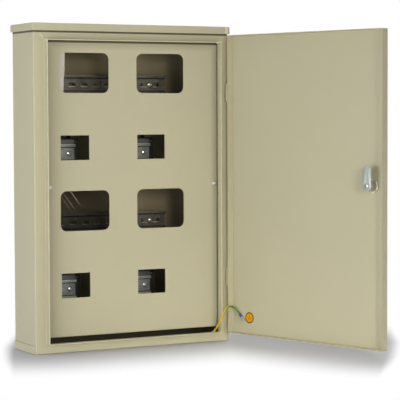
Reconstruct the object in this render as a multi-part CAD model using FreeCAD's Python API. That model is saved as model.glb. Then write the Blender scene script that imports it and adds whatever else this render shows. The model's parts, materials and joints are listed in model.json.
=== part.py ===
import FreeCAD, Part
import math
import os

V = FreeCAD.Vector

# Overall sizes of the cabinet, in millimetres. X is to the right seen from the front,
# Y runs from the front to the wall, Z is up. While building, Z starts at the underside.
WIDTH = 400.0
HEIGHT = 600.0
DEPTH = 100.0
SHEET = 1.2
BEND = 1.2
TOUCH = 0.3

# Front frame: how wide it stands in from each edge and how far its gutter lip comes forward.
STILE = 22.5
TOP_RAIL = 29.8
BOTTOM_RAIL = 18.6
LIP = 14.5
TRAY_SIDE = 15.0

# Rain cap.
CAP_GAP = 2.2
CAP_DROP = 12.5

# Hinges.
HINGE_END = 109.5
HINGE_TALL = 35.0
BARREL_R = 2.75
PIN_R = 1.5
RUNNING = 0.05
KNUCKLE_GAP = 0.4
LEAF = 1.2
LEAF_DEPTH = 22.0

# Door, drawn shut and then swung open by DOOR_ANGLE about the hinge axis.
DOOR_ANGLE = 107.2
DOOR_DEPTH = 16.0
DOOR_ROOM = 2.8
DOOR_BOTTOM = 15.0
UNDER_CAP = 2.5
DOOR_SEAT = 2.0
HINGE_LAP = 1.2
PAN_R = 2.4

# Inner panel and its openings. COLUMN_IN is from the left side of the box to the first column,
# and the openings are given from the left edge of each column.
PANEL_BACK = 7.5
PANEL_CENTRE = 4.0
PANEL_ROOM = 0.5
PANEL_GAP = 9.0
PANEL_LAP = 6.8
PANEL_FOLD = 12.0
COLUMN_IN = 54.6
COLUMN_PITCH = 155.4
ROW_PITCH = 252.9
WINDOW_W = 98.4
WINDOW_H = 73.6
WINDOW_R = 12.0
WINDOW_Z = 258.7
CUT_W = 57.4
CUT_H = 45.4
CUT_SHIFT = 0.9
CUT_Z = 121.8
PANE_LAP = 5.0
PANE_THICK = 2.0
PANEL_SCREW_IN = 7.5
PANEL_SCREW_Z = 303.0
PANEL_SCREW_R = 2.0
PANEL_HEAD_R = 4.0
PANEL_HEAD = 2.8
SCREW_LONG = 9.0
SCREW_SLACK = 0.3
ANGLE_LEG = 22.0
ANGLE_TALL = 44.0
ANGLE_LAP = 9.0

# Rails.
RAIL_H = 35.0
RAIL_D = 7.5
RAIL_T = 1.0
RAIL_INSIDE = 25.0
BREAKER_RAIL_BACK = 45.0
BREAKER_RAIL_DROP = 12.0
BREAKER_RAIL = (-5.5, 50.5)
BRACKET = (-9.0, 60.0)
BRACKET_UP = 28.0
BRACKET_DOWN = 24.0
BRACKET_FOOT = 12.0
BRACKET_HOLE_R = 2.4
BRACKET_HOLE_IN = 5.0
BRACKET_HOLE_UP = 21.5
BREAKER_SCREW = 39.5
BREAKER_SLOT = 2.0
METER_RAIL_Y = -26.0
RAIL_BEFORE = 11.6
RAIL_AFTER = 95.5
METER_RAIL_Z = (232.0, 491.5)
METER_BRACKET_IN = (23.4, 63.0)
METER_BRACKET_W = 30.0
METER_BRACKET_HALF = 9.0
METER_FOOT = 8.0
SLOT_PITCH = 25.0
SLOT_L = 15.0
SLOT_H = 6.2
RAIL_SCREW_R = 2.5
RAIL_HEAD_R = 4.6
RAIL_HEAD = 3.0

# Cam lock, measured from the free edge of the door and up from the underside.
LOCK_IN = 31.25
LOCK_Z = 307.0
LOCK_THREAD_R = 9.5
LOCK_FLATS = 16.4
LOCK_HEAD_R = 12.5
LOCK_HEAD = 4.0
LOCK_PLUG_R = 6.0
NUT_FLATS = 23.0
NUT_THICK = 5.0
CAM_THICK = 2.0
CAM_WIDE = 18.4
CAM_SHOULDER = 31.5
CAM_TIP = 38.6
CAM_SQUARE = 8.0

# Earth bonding.
STUD_R = 2.0
DOOR_STUD_U = 31.0
DOOR_STUD_Z = 42.6
STUD_LONG = 8.0
WASHER_R = 3.7
WASHER_T = 0.8
EARTH_NUT_FLATS = 7.0
EARTH_NUT_T = 3.2
DOOR_TERMINAL_TURN = 48.0
CASE_STUD_IN = 53.0
CASE_STUD_Y = -58.0
CASE_TURN = -56.0
WIRE_KNOTS = ((-26.0, 4.2, 21.7), (-26.0, -16.3, 40.0), (-19.9, -22.2, 63.4), (-1.4, -10.3, 68.9))
WIRE_LEAD = (15.8, 12.4)
LABEL_U = 45.4
LABEL_Z = 46.6
LABEL_R = 10.8
WIRE_R = 1.7
RING_R = 4.2
RING_T = 0.8
SLEEVE_R = 2.4
SLEEVE_WALL = 0.4
SLEEVE_X = 5.2
SLEEVE_L = 8.4

# Wall fixing and cable entries.
FIX_IN = 40.0
FIX_R = 4.5
ENTRY_R = 18.0
ENTRY_X = (-120.0, 0.0, 100.0)

# Places that follow from the sizes above.
HALF = WIDTH / 2
FRONT = -DEPTH
INSIDE = HALF - SHEET
LIP_X = HALF - STILE
FIX_X = HALF - FIX_IN
FIX_Z = HEIGHT / 2 - FIX_IN
CASE_STUD_X = HALF - CASE_STUD_IN
COLUMN_X = (COLUMN_IN - HALF, COLUMN_IN - HALF + COLUMN_PITCH)
METER_RAIL_X = (COLUMN_X[0] - RAIL_BEFORE, COLUMN_X[1] + RAIL_AFTER)
METER_BRACKET_X = (COLUMN_X[0] + METER_BRACKET_IN[0], COLUMN_X[1] + METER_BRACKET_IN[1])
LIP_FRONT = FRONT - LIP
TOP_LIP = HEIGHT - TOP_RAIL
AXIS_X = INSIDE - BARREL_R
AXIS_Y = FRONT - BARREL_R - TOUCH
DOOR_HINGE_X = AXIS_X - BARREL_R - TOUCH
DOOR_FREE_X = -LIP_X - SHEET - DOOR_ROOM - SHEET
DOOR_TOP = HEIGHT - CAP_DROP - UNDER_CAP
HINGE_Z = (DOOR_BOTTOM + HINGE_END, DOOR_TOP - HINGE_END)
DOOR_TIP_Y = FRONT - DOOR_SEAT
DOOR_FACE_Y = DOOR_TIP_Y - DOOR_DEPTH
DOOR_IN_Y = DOOR_FACE_Y + SHEET
PANEL_Y = FRONT + PANEL_BACK
PANEL_REAR = PANEL_Y + SHEET
PANEL_HALF = LIP_X - PANEL_ROOM
PANEL_BOTTOM = BOTTOM_RAIL + PANEL_GAP
PANEL_TOP = TOP_LIP + PANEL_LAP
PANEL_SCREW = PANEL_HALF - PANEL_SCREW_IN
BREAKER_RAIL_Y = PANEL_Y + BREAKER_RAIL_BACK
CAM_Y = FRONT + SHEET + 0.5
LOCK_X = DOOR_FREE_X + LOCK_IN
DOOR_STUD_X = AXIS_X - DOOR_STUD_U
LABEL_X = AXIS_X - LABEL_U

os.makedirs("parts", exist_ok=True)


def save(name, shape):
    """Moves the finished piece so that the middle of the wall holes is the origin, and writes it."""
    placed = shape.copy()
    placed.translate(V(0, 0, -HEIGHT / 2))
    placed.exportStep("parts/" + name + ".step")


def swing(shape):
    """Turns a piece that was drawn on the shut door to the open position."""
    turned = shape.copy()
    turned.rotate(V(AXIS_X, AXIS_Y, 0), V(0, 0, 1), DOOR_ANGLE)
    return turned


def box(x0, x1, y0, y1, z0, z1):
    return Part.makeBox(x1 - x0, y1 - y0, z1 - z0, V(x0, y0, z0))


def group(shapes):
    return Part.makeCompound(shapes)


def rounded_path(points, radii, place):
    """Edges along a bent line whose corners are arcs of the given radii."""
    edges = []
    last = points[0]
    for i in range(1, len(points) - 1):
        a, b, c = points[i - 1], points[i], points[i + 1]
        la = math.hypot(b[0] - a[0], b[1] - a[1])
        lc = math.hypot(c[0] - b[0], c[1] - b[1])
        d = ((b[0] - a[0]) / la, (b[1] - a[1]) / la)
        e = ((c[0] - b[0]) / lc, (c[1] - b[1]) / lc)
        turn = math.atan2(d[0] * e[1] - d[1] * e[0], d[0] * e[0] + d[1] * e[1])
        reach = radii[i] * math.tan(abs(turn) / 2)
        start = (b[0] - d[0] * reach, b[1] - d[1] * reach)
        end = (b[0] + e[0] * reach, b[1] + e[1] * reach)
        out = (e[0] - d[0], e[1] - d[1])
        size = math.hypot(out[0], out[1])
        sag = radii[i] * (1 / math.cos(turn / 2) - 1)
        middle = (b[0] + out[0] / size * sag, b[1] + out[1] / size * sag)
        edges.append(Part.LineSegment(place(*last), place(*start)).toShape())
        edges.append(Part.Arc(place(*start), place(*middle), place(*end)).toShape())
        last = end
    edges.append(Part.LineSegment(place(*last), place(*points[-1])).toShape())
    return edges, last


def folded(points, thick, bend, side, place, run):
    """A folded sheet: a bent line given on one face, thickness laid to the left (1) or right (-1)."""
    count = len(points)
    dirs = []
    for a, b in zip(points, points[1:]):
        size = math.hypot(b[0] - a[0], b[1] - a[1])
        dirs.append(((b[0] - a[0]) / size, (b[1] - a[1]) / size))
    near, far, other = [0.0], [0.0], []
    for i in range(count):
        d = dirs[max(i - 1, 0)]
        e = dirs[min(i, count - 2)]
        cross = d[0] * e[1] - d[1] * e[0]
        dot = d[0] * e[0] + d[1] * e[1]
        half = math.atan2(cross, dot) / 2
        normal = (-side * d[1], side * d[0])
        along = -side * math.tan(half) * thick
        other.append((points[i][0] + normal[0] * thick + d[0] * along,
                      points[i][1] + normal[1] * thick + d[1] * along))
        if 0 < i < count - 1:
            inner = cross * side > 0
            near.append(bend + thick if inner else bend)
            far.append(bend if inner else bend + thick)
    near.append(0.0)
    far.append(0.0)
    edges, _ = rounded_path(points, near, place)
    edges.append(Part.LineSegment(place(*points[-1]), place(*other[-1])).toShape())
    back, _ = rounded_path(other[::-1], far[::-1], place)
    edges += back
    edges.append(Part.LineSegment(place(*other[0]), place(*points[0])).toShape())
    face = Part.Face(Part.Wire(Part.__sortEdges__(edges)))
    return face.extrude(run)


def prism_xz(points, y0, y1):
    """A flat outline in X and Z made into a block from y0 to y1."""
    wire = Part.makePolygon([V(x, y0, z) for x, z in points] + [V(points[0][0], y0, points[0][1])])
    return Part.Face(wire).extrude(V(0, y1 - y0, 0))


def rounded_slot(x0, x1, z0, z1, radius, y0, y1):
    """A block with rounded upright corners in X and Z, for windows and slots."""
    block = box(x0, x1, y0, y1, z0, z1)
    edges = [e for e in block.Edges if abs(e.Vertexes[0].Y - e.Vertexes[1].Y) > 1e-6]
    return block.makeFillet(radius, edges)


def along_y(radius, x, z, y0, y1):
    return Part.makeCylinder(radius, y1 - y0, V(x, y0, z), V(0, 1, 0))


def hexagon(flats, x, z, y0, y1):
    corner = flats / math.sqrt(3)
    points = [(x + corner * math.cos(math.radians(60 * k)), z + corner * math.sin(math.radians(60 * k)))
              for k in range(6)]
    return prism_xz(points, y0, y1)


def pan_screw(x, z, face_y, head_r, head_h, shank_r, shank_l):
    """A pan-head screw driven from the front into a face at face_y."""
    head = along_y(head_r, x, z, face_y - head_h, face_y)
    rim = [e for e in head.Edges if abs(e.CenterOfMass.y - (face_y - head_h)) < 1e-6 and len(e.Vertexes) == 1]
    head = head.makeChamfer(head_h * 0.4, rim[:1])
    arm, front, floor = head_r * 0.55, face_y - head_h, face_y - head_h * 0.5
    cross = box(x - arm, x + arm, front, floor, z - 0.5, z + 0.5)
    upright = box(x - 0.5, x + 0.5, front, floor, z - arm, z + arm)
    shank = along_y(shank_r, x, z, face_y - 0.01, face_y + shank_l)
    return head.cut(cross.fuse(upright)).fuse(shank).removeSplitter()


def section_xy(x, y):
    return V(x, y, 0)


def corner_wedge(side, low):
    """The part of a frame corner that belongs to a rail: the stile is mitred along this line."""
    edge = 0.0 if low else HEIGHT
    rail = BOTTOM_RAIL if low else TOP_LIP
    beyond = -60.0 if low else HEIGHT + 60.0
    slope = (rail - edge) / STILE
    outer = (side * (HALF + 20), edge - slope * 20)
    inner = (side * (LIP_X - 10), rail + slope * 10)
    return prism_xz([outer, inner, (inner[0], beyond), (outer[0], beyond)], LIP_FRONT - 5, FRONT + SHEET + BEND)


# Cabinet body: one strip folded into lip, stile, side, back, side, stile and lip.
wrap_line = [(-LIP_X - SHEET, LIP_FRONT), (-LIP_X - SHEET, FRONT), (-HALF, FRONT), (-HALF, 0.0),
             (HALF, 0.0), (HALF, FRONT), (LIP_X + SHEET, FRONT), (LIP_X + SHEET, LIP_FRONT)]
wrap = folded(wrap_line, SHEET, BEND, -1, section_xy, V(0, 0, HEIGHT - 2 * SHEET))
wrap.translate(V(0, 0, SHEET))
for side in (-1, 1):
    for low in (True, False):
        wrap = wrap.cut(corner_wedge(side, low))
for x in (-FIX_X, FIX_X):
    for z in (HEIGHT / 2 - FIX_Z, HEIGHT / 2 + FIX_Z):
        wrap = wrap.cut(along_y(FIX_R, x, z, -SHEET - 1, 1))
for z in HINGE_Z:
    slot = box(INSIDE - LEAF - TOUCH, INSIDE + 0.2, FRONT - 1, FRONT + SHEET + BEND + 0.6,
               z - HINGE_TALL / 2 - TOUCH, z + HINGE_TALL / 2 + TOUCH)
    wrap = wrap.cut(slot)
save("body_wrap", wrap)


def end_plate(edge, lip_z, up):
    """A flat end with its front rail folded and the lip folded forward again."""
    line = [(-SHEET, edge), (FRONT, edge), (FRONT, lip_z), (LIP_FRONT, lip_z)]
    plate = folded(line, SHEET, BEND, up, lambda y, z: V(-INSIDE, y, z), V(2 * INSIDE, 0, 0))
    return plate


# Top end plate with the upper rail and its lip.
top_plate = end_plate(HEIGHT, TOP_LIP + SHEET, 1)
top_keep = top_plate.common(box(-HALF, HALF, FRONT + SHEET + BEND, 0, 0, HEIGHT))
front_part = top_plate.common(box(-HALF, HALF, LIP_FRONT - 1, FRONT + SHEET + BEND, 0, HEIGHT))
between = box(-LIP_X + 10, LIP_X - 10, LIP_FRONT - 5, FRONT + SHEET + BEND, TOP_LIP - 50, HEIGHT + 60)
rail_zone = between.fuse([corner_wedge(-1, False), corner_wedge(1, False)])
top_plate = top_keep.fuse(front_part.common(rail_zone)).removeSplitter()
save("top_end_plate", top_plate)

# Bottom tray: end plate, lower rail and lip, side flanges lapping the walls, cable entries.
tray = end_plate(0.0, BOTTOM_RAIL - SHEET, -1)
tray_keep = tray.common(box(-HALF, HALF, FRONT + SHEET + BEND, 0, 0, HEIGHT))
front_part = tray.common(box(-HALF, HALF, LIP_FRONT - 1, FRONT + SHEET + BEND, 0, HEIGHT))
between = box(-LIP_X + 10, LIP_X - 10, LIP_FRONT - 5, FRONT + SHEET + BEND, -60, BOTTOM_RAIL + 50)
rail_zone = between.fuse([corner_wedge(-1, True), corner_wedge(1, True)])
tray = tray_keep.fuse(front_part.common(rail_zone))
for side in (-1, 1):
    lap = side * (HALF + TOUCH + SHEET)
    line = [(side * (INSIDE - TRAY_SIDE), 0.0), (lap, 0.0), (lap, TRAY_SIDE)]
    flange = folded(line, SHEET, TOUCH, side, lambda x, z: V(x, FRONT + SHEET + BEND, z),
                    V(0, DEPTH - 2 * SHEET - BEND, 0))
    tray = tray.fuse(flange)
for x in ENTRY_X:
    ring = Part.makeCylinder(ENTRY_R, 0.5, V(x, -DEPTH / 2, 0))
    ring = ring.cut(Part.makeCylinder(ENTRY_R - 1.0, 0.5, V(x, -DEPTH / 2, 0)))
    tray = tray.cut(ring)
case_stud_hole = Part.makeCylinder(STUD_R, 10, V(CASE_STUD_X, CASE_STUD_Y, -5))
tray = tray.cut(case_stud_hole).removeSplitter()
save("bottom_tray", tray)

# Rain cap: a shallow lid with welded corners, open towards the wall.
cap_x = HALF + CAP_GAP + SHEET
cap_y = FRONT - CAP_GAP - SHEET
cap_top = HEIGHT + SHEET
cap = box(-cap_x, cap_x, cap_y, 0, HEIGHT - CAP_DROP, cap_top)
round_edges = [e for e in cap.Edges
               if (abs(e.CenterOfMass.z - cap_top) < 1e-6 and e.CenterOfMass.y < -1)
               or (abs(e.CenterOfMass.y - cap_y) < 1e-6 and abs(abs(e.CenterOfMass.x) - cap_x) < 1e-6)]
cap = cap.makeFillet(2.0, round_edges)
hollow = box(-cap_x + SHEET, cap_x - SHEET, cap_y + SHEET, 1, HEIGHT - CAP_DROP - 1, HEIGHT)
upright = [e for e in hollow.Edges if abs(e.Vertexes[0].Z - e.Vertexes[1].Z) > 1 and e.CenterOfMass.y < FRONT]
hollow = hollow.makeFillet(0.8, upright)
save("rain_cap", cap.cut(hollow))

# Hinges: the case leaf passes through a slot and lies on the inside of the wall.
knuckle = (HINGE_TALL - 2 * KNUCKLE_GAP) / 3


def hinge_leaf(z_mid, spans, side, back, bore):
    """A leaf with rolled knuckles; side is the tangent side in X, back the way it lies in Y."""
    x0 = INSIDE - LEAF if side > 0 else DOOR_HINGE_X
    clear = AXIS_Y + back * (BARREL_R + KNUCKLE_GAP)
    end = AXIS_Y + back * LEAF_DEPTH if back > 0 else DOOR_FACE_Y + 2.5
    low, high = min(clear, end), max(clear, end)
    leaf = box(x0, x0 + LEAF, low, high, z_mid - HINGE_TALL / 2, z_mid + HINGE_TALL / 2)
    corners = [e for e in leaf.Edges if abs(e.CenterOfMass.y - end) < 1e-6
               and abs(e.Vertexes[0].X - e.Vertexes[1].X) > 0.5]
    leaf = leaf.makeFillet(3.0, corners)
    for a, b in spans:
        barrel = Part.makeCylinder(BARREL_R, b - a, V(AXIS_X, AXIS_Y, a))
        web = box(x0, x0 + LEAF, min(AXIS_Y, clear), max(AXIS_Y, clear), a, b)
        leaf = leaf.fuse(barrel.fuse(web))
    hole = Part.makeCylinder(bore, HINGE_TALL + 2, V(AXIS_X, AXIS_Y, z_mid - HINGE_TALL / 2 - 1))
    return leaf.cut(hole).removeSplitter()


for name, z in zip(("lower", "upper"), HINGE_Z):
    base = z - HINGE_TALL / 2
    outer = ((base, base + knuckle), (base + HINGE_TALL - knuckle, base + HINGE_TALL))
    middle = ((base + knuckle + KNUCKLE_GAP, base + 2 * knuckle + KNUCKLE_GAP),)
    save("hinge_case_leaf_" + name, hinge_leaf(z, outer, 1, 1, PIN_R))
    save("hinge_door_leaf_" + name, swing(hinge_leaf(z, middle, -1, -1, PIN_R + RUNNING)))
    pin = Part.makeCylinder(PIN_R, HINGE_TALL, V(AXIS_X, AXIS_Y, base))
    head = Part.makeCylinder(BARREL_R - 0.35, 1.0, V(AXIS_X, AXIS_Y, base + HINGE_TALL))
    head = head.makeChamfer(0.4, [e for e in head.Edges if e.CenterOfMass.z > base + HINGE_TALL + 0.9][:1])
    save("hinge_pin_" + name, pin.fuse(head).removeSplitter())

# Inner panel with its top and bottom folds, windows, breaker cut-outs and screw holes.
panel_line = [(PANEL_Y + PANEL_FOLD, PANEL_BOTTOM), (PANEL_Y, PANEL_BOTTOM),
              (PANEL_Y, PANEL_TOP), (PANEL_Y + PANEL_FOLD, PANEL_TOP)]
panel_left = PANEL_CENTRE - PANEL_HALF
panel = folded(panel_line, SHEET, 0.6, -1, lambda y, z: V(panel_left, y, z), V(2 * PANEL_HALF, 0, 0))
columns = (("left", COLUMN_X[0]), ("right", COLUMN_X[1]))
rows = (("lower", 0), ("upper", 1))
for row, up in rows:
    for column, x in columns:
        z = WINDOW_Z + up * ROW_PITCH
        opening = rounded_slot(x, x + WINDOW_W, z - WINDOW_H / 2, z + WINDOW_H / 2, WINDOW_R,
                               PANEL_Y - 1, PANEL_REAR + 1)
        panel = panel.cut(opening)
        pane = rounded_slot(x - PANE_LAP, x + WINDOW_W + PANE_LAP, z - WINDOW_H / 2 - PANE_LAP,
                            z + WINDOW_H / 2 + PANE_LAP, 3.0, PANEL_REAR, PANEL_REAR + PANE_THICK)
        save("window_pane_" + row + "_" + column, pane)
        z = CUT_Z + up * ROW_PITCH
        panel = panel.cut(box(x + CUT_SHIFT, x + CUT_SHIFT + CUT_W, PANEL_Y - 1, PANEL_REAR + 1,
                              z - CUT_H / 2, z + CUT_H / 2))
screw_x = (PANEL_CENTRE - PANEL_SCREW, PANEL_CENTRE + PANEL_SCREW)
for x in screw_x:
    panel = panel.cut(along_y(PANEL_SCREW_R + SCREW_SLACK, x, PANEL_SCREW_Z, PANEL_Y - 1, PANEL_REAR + 1))
save("inner_panel", panel)

# Angle brackets on the side walls that the panel is screwed to.
panel_screws = []
for name, side, x in (("left", -1, screw_x[0]), ("right", 1, screw_x[1])):
    reach = x - side * ANGLE_LAP
    line = [(side * INSIDE, PANEL_REAR + ANGLE_LEG), (side * INSIDE, PANEL_REAR), (reach, PANEL_REAR)]
    angle = folded(line, SHEET, BEND, -side, section_xy, V(0, 0, ANGLE_TALL))
    angle.translate(V(0, 0, PANEL_SCREW_Z - ANGLE_TALL / 2))
    angle = angle.cut(along_y(PANEL_SCREW_R, x, PANEL_SCREW_Z, PANEL_Y - 1, PANEL_REAR + ANGLE_LEG))
    save("panel_bracket_" + name, angle)
    screw = pan_screw(x, PANEL_SCREW_Z, PANEL_Y, PANEL_HEAD_R, PANEL_HEAD, PANEL_SCREW_R, SCREW_LONG)
    panel_screws.append(screw)
save("panel_screws", group(panel_screws))


def top_hat(y, z, x0, x1):
    """A 35 by 7.5 mounting rail from x0 to x1 with its brim facing the front at y."""
    brim, channel = RAIL_H / 2, RAIL_INSIDE / 2
    web = y + RAIL_D - RAIL_T
    line = [(y, z + brim), (y, z + channel), (web, z + channel),
            (web, z - channel), (y, z - channel), (y, z - brim)]
    return folded(line, RAIL_T, 0.6, 1, lambda a, b: V(x0, a, b), V(x1 - x0, 0, 0))


def hat_bracket(front, top, bottom, foot, x0, x1):
    """A folded stand-off from the back of the cabinet with two feet and a flat top at front."""
    floor = -SHEET - SHEET
    line = [(floor, top + foot), (floor, top), (front, top),
            (front, bottom), (floor, bottom), (floor, bottom - foot)]
    return folded(line, SHEET, BEND, 1, lambda a, b: V(x0, a, b), V(x1 - x0, 0, 0))


# Short rails behind the breaker cut-outs, each on its own stand-off.
rail_screws = []
for row, up in rows:
    for column, x in columns:
        z = CUT_Z + up * ROW_PITCH - BREAKER_RAIL_DROP
        middle = x + BREAKER_SCREW
        rail = top_hat(BREAKER_RAIL_Y, z, x + BREAKER_RAIL[0], x + BREAKER_RAIL[1])
        rail = rail.cut(along_y(RAIL_SCREW_R, middle, z + 0.5, BREAKER_RAIL_Y, BREAKER_RAIL_Y + RAIL_D + 1))
        start = x + BREAKER_SLOT
        rail = rail.cut(rounded_slot(start, start + SLOT_L, z - SLOT_H / 2, z + SLOT_H / 2, SLOT_H / 2 - 0.05,
                                     BREAKER_RAIL_Y, BREAKER_RAIL_Y + RAIL_D + 1))
        save("breaker_rail_" + row + "_" + column, rail)
        seat = BREAKER_RAIL_Y + RAIL_D
        left, right = x + BRACKET[0], x + BRACKET[1]
        stand = hat_bracket(seat, z + BRACKET_UP, z - BRACKET_DOWN, BRACKET_FOOT, left, right)
        stand = stand.cut(along_y(RAIL_SCREW_R, middle, z + 0.5, seat - 1, seat + SHEET + 1))
        for hole_x in (left + BRACKET_HOLE_IN, right - BRACKET_HOLE_IN):
            stand = stand.cut(along_y(BRACKET_HOLE_R, hole_x, z + BRACKET_HOLE_UP, seat - 1, seat + SHEET + 1))
        save("breaker_bracket_" + row + "_" + column, stand)
        screw = pan_screw(middle, z + 0.5, seat - RAIL_T, RAIL_HEAD_R, RAIL_HEAD, RAIL_SCREW_R, SCREW_LONG)
        rail_screws.append(screw)

# Long perforated rails behind the meter windows.
for (row, up), z in zip(rows, METER_RAIL_Z):
    rail = top_hat(METER_RAIL_Y, z, METER_RAIL_X[0], METER_RAIL_X[1])
    count = int((METER_RAIL_X[1] - METER_RAIL_X[0]) // SLOT_PITCH)
    first = METER_BRACKET_X[1] - SLOT_PITCH / 2 - SLOT_PITCH * (count - 3)
    for k in range(count - 1):
        x = first + SLOT_PITCH * k
        if x - SLOT_L / 2 < METER_RAIL_X[0] + 3 or x + SLOT_L / 2 > METER_RAIL_X[1] - 3:
            continue
        rail = rail.cut(rounded_slot(x - SLOT_L / 2, x + SLOT_L / 2, z - SLOT_H / 2, z + SLOT_H / 2,
                                     SLOT_H / 2 - 0.05, METER_RAIL_Y, METER_RAIL_Y + RAIL_D + 1))
    seat = METER_RAIL_Y + RAIL_D
    for name, x in zip(("left", "right"), METER_BRACKET_X):
        rail = rail.cut(along_y(RAIL_SCREW_R, x, z, METER_RAIL_Y, seat + 1))
        stand = hat_bracket(seat, z + METER_BRACKET_HALF, z - METER_BRACKET_HALF, METER_FOOT,
                            x - METER_BRACKET_W / 2, x + METER_BRACKET_W / 2)
        stand = stand.cut(along_y(RAIL_SCREW_R, x, z, seat - 1, seat + SHEET + 1))
        save("meter_bracket_" + row + "_" + name, stand)
        rail_screws.append(pan_screw(x, z, seat - RAIL_T, RAIL_HEAD_R, RAIL_HEAD, RAIL_SCREW_R, SCREW_LONG))
    save("meter_rail_" + row, rail)
save("rail_screws", group(rail_screws))

# Door: a pan with rounded edges, drawn shut. Its hinge side reaches nearer the frame than the others.
door = box(DOOR_FREE_X, DOOR_HINGE_X, DOOR_FACE_Y, DOOR_TIP_Y, DOOR_BOTTOM, DOOR_TOP)
face_edges = [e for e in door.Edges if e.CenterOfMass.y < DOOR_FACE_Y + 0.01]
side_edges = [e for e in door.Edges if abs(e.Vertexes[0].Y - e.Vertexes[1].Y) > 1]
door = door.makeFillet(PAN_R, face_edges + side_edges)
pan = box(DOOR_FREE_X + SHEET, DOOR_HINGE_X - SHEET, DOOR_IN_Y, DOOR_TIP_Y + 1,
          DOOR_BOTTOM + SHEET, DOOR_TOP - SHEET)
pan_edges = [e for e in pan.Edges if e.CenterOfMass.y < DOOR_IN_Y + 0.01]
pan_sides = [e for e in pan.Edges if abs(e.Vertexes[0].Y - e.Vertexes[1].Y) > 1]
door = door.cut(pan.makeFillet(PAN_R - SHEET, pan_edges + pan_sides))
hinge_strip = box(DOOR_HINGE_X - SHEET, DOOR_HINGE_X, DOOR_TIP_Y - 1, DOOR_TIP_Y + HINGE_LAP,
                  DOOR_BOTTOM + PAN_R, DOOR_TOP - PAN_R)
door = door.fuse(hinge_strip).removeSplitter()
lock_hole = along_y(LOCK_THREAD_R, LOCK_X, LOCK_Z, DOOR_FACE_Y - 1, DOOR_IN_Y + 1)
flats = box(LOCK_X - LOCK_FLATS / 2, LOCK_X + LOCK_FLATS / 2, DOOR_FACE_Y - 2, CAM_Y, LOCK_Z - 20, LOCK_Z + 20)
door = door.cut(lock_hole.common(flats))
save("door", swing(door))

# Cam lock: flanged housing with two flats, its nut, the turning plug, the cam and the cam screw.
house_end = CAM_Y - TOUCH
thread = along_y(LOCK_THREAD_R, LOCK_X, LOCK_Z, DOOR_FACE_Y - 1, house_end)
thread = thread.common(flats)
head = along_y(LOCK_HEAD_R, LOCK_X, LOCK_Z, DOOR_FACE_Y - LOCK_HEAD, DOOR_FACE_Y)
rim = [e for e in head.Edges if e.CenterOfMass.y < DOOR_FACE_Y - LOCK_HEAD + 0.01]
head = head.makeChamfer(LOCK_HEAD * 0.4, rim[:1])
bore = along_y(LOCK_PLUG_R + RUNNING, LOCK_X, LOCK_Z, DOOR_FACE_Y - LOCK_HEAD - 1, house_end + 1)
housing = head.fuse(thread).cut(bore).removeSplitter()
save("lock_housing", swing(housing))
nut = hexagon(NUT_FLATS, LOCK_X, LOCK_Z, DOOR_IN_Y, DOOR_IN_Y + NUT_THICK)
nut_hole = along_y(LOCK_THREAD_R, LOCK_X, LOCK_Z, DOOR_IN_Y - 1, DOOR_IN_Y + NUT_THICK + 1)
save("lock_nut", swing(nut.cut(nut_hole)))
plug = along_y(LOCK_PLUG_R, LOCK_X, LOCK_Z, DOOR_FACE_Y - LOCK_HEAD, CAM_Y)
half = CAM_SQUARE / 2
tang = box(LOCK_X - half, LOCK_X + half, CAM_Y - 1, CAM_Y + CAM_THICK, LOCK_Z - half, LOCK_Z + half)
keyway = box(LOCK_X - 0.9, LOCK_X + 0.9, DOOR_FACE_Y - LOCK_HEAD - 1, DOOR_FACE_Y + 8, LOCK_Z - 4, LOCK_Z + 4)
cam_screw_hole = along_y(2.0, LOCK_X, LOCK_Z, CAM_Y - 8, CAM_Y + CAM_THICK + 1)
plug = plug.fuse(tang).cut(keyway).cut(cam_screw_hole).removeSplitter()
save("lock_plug", swing(plug))
wide = CAM_WIDE / 2
cam = prism_xz([(LOCK_X - wide, LOCK_Z), (LOCK_X + wide, LOCK_Z), (LOCK_X + wide, LOCK_Z + CAM_SHOULDER),
                (LOCK_X, LOCK_Z + CAM_TIP), (LOCK_X - wide, LOCK_Z + CAM_SHOULDER)], CAM_Y, CAM_Y + CAM_THICK)
cam = cam.fuse(along_y(wide, LOCK_X, LOCK_Z, CAM_Y, CAM_Y + CAM_THICK)).removeSplitter()
cam = cam.cut(box(LOCK_X - half, LOCK_X + half, CAM_Y - 1, CAM_Y + CAM_THICK + 1, LOCK_Z - half, LOCK_Z + half))
save("lock_cam", swing(cam))
screw_head = along_y(5.5, LOCK_X, LOCK_Z, CAM_Y + CAM_THICK, CAM_Y + CAM_THICK + 2.4)
screw_head = screw_head.makeChamfer(0.8, [e for e in screw_head.Edges
                                          if e.CenterOfMass.y > CAM_Y + CAM_THICK + 2.3][:1])
slot_y = CAM_Y + CAM_THICK + 1.4
screw_slot = box(LOCK_X - 6, LOCK_X + 6, slot_y, slot_y + 2, LOCK_Z - 0.6, LOCK_Z + 0.6)
screw_shank = along_y(2.0, LOCK_X, LOCK_Z, CAM_Y - 7, CAM_Y + CAM_THICK + 0.1)
save("cam_screw", swing(screw_head.cut(screw_slot).fuse(screw_shank).removeSplitter()))

# Earth bonding: a stud, washer and nut on the door and in the case, ring terminals and the wire.


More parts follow.
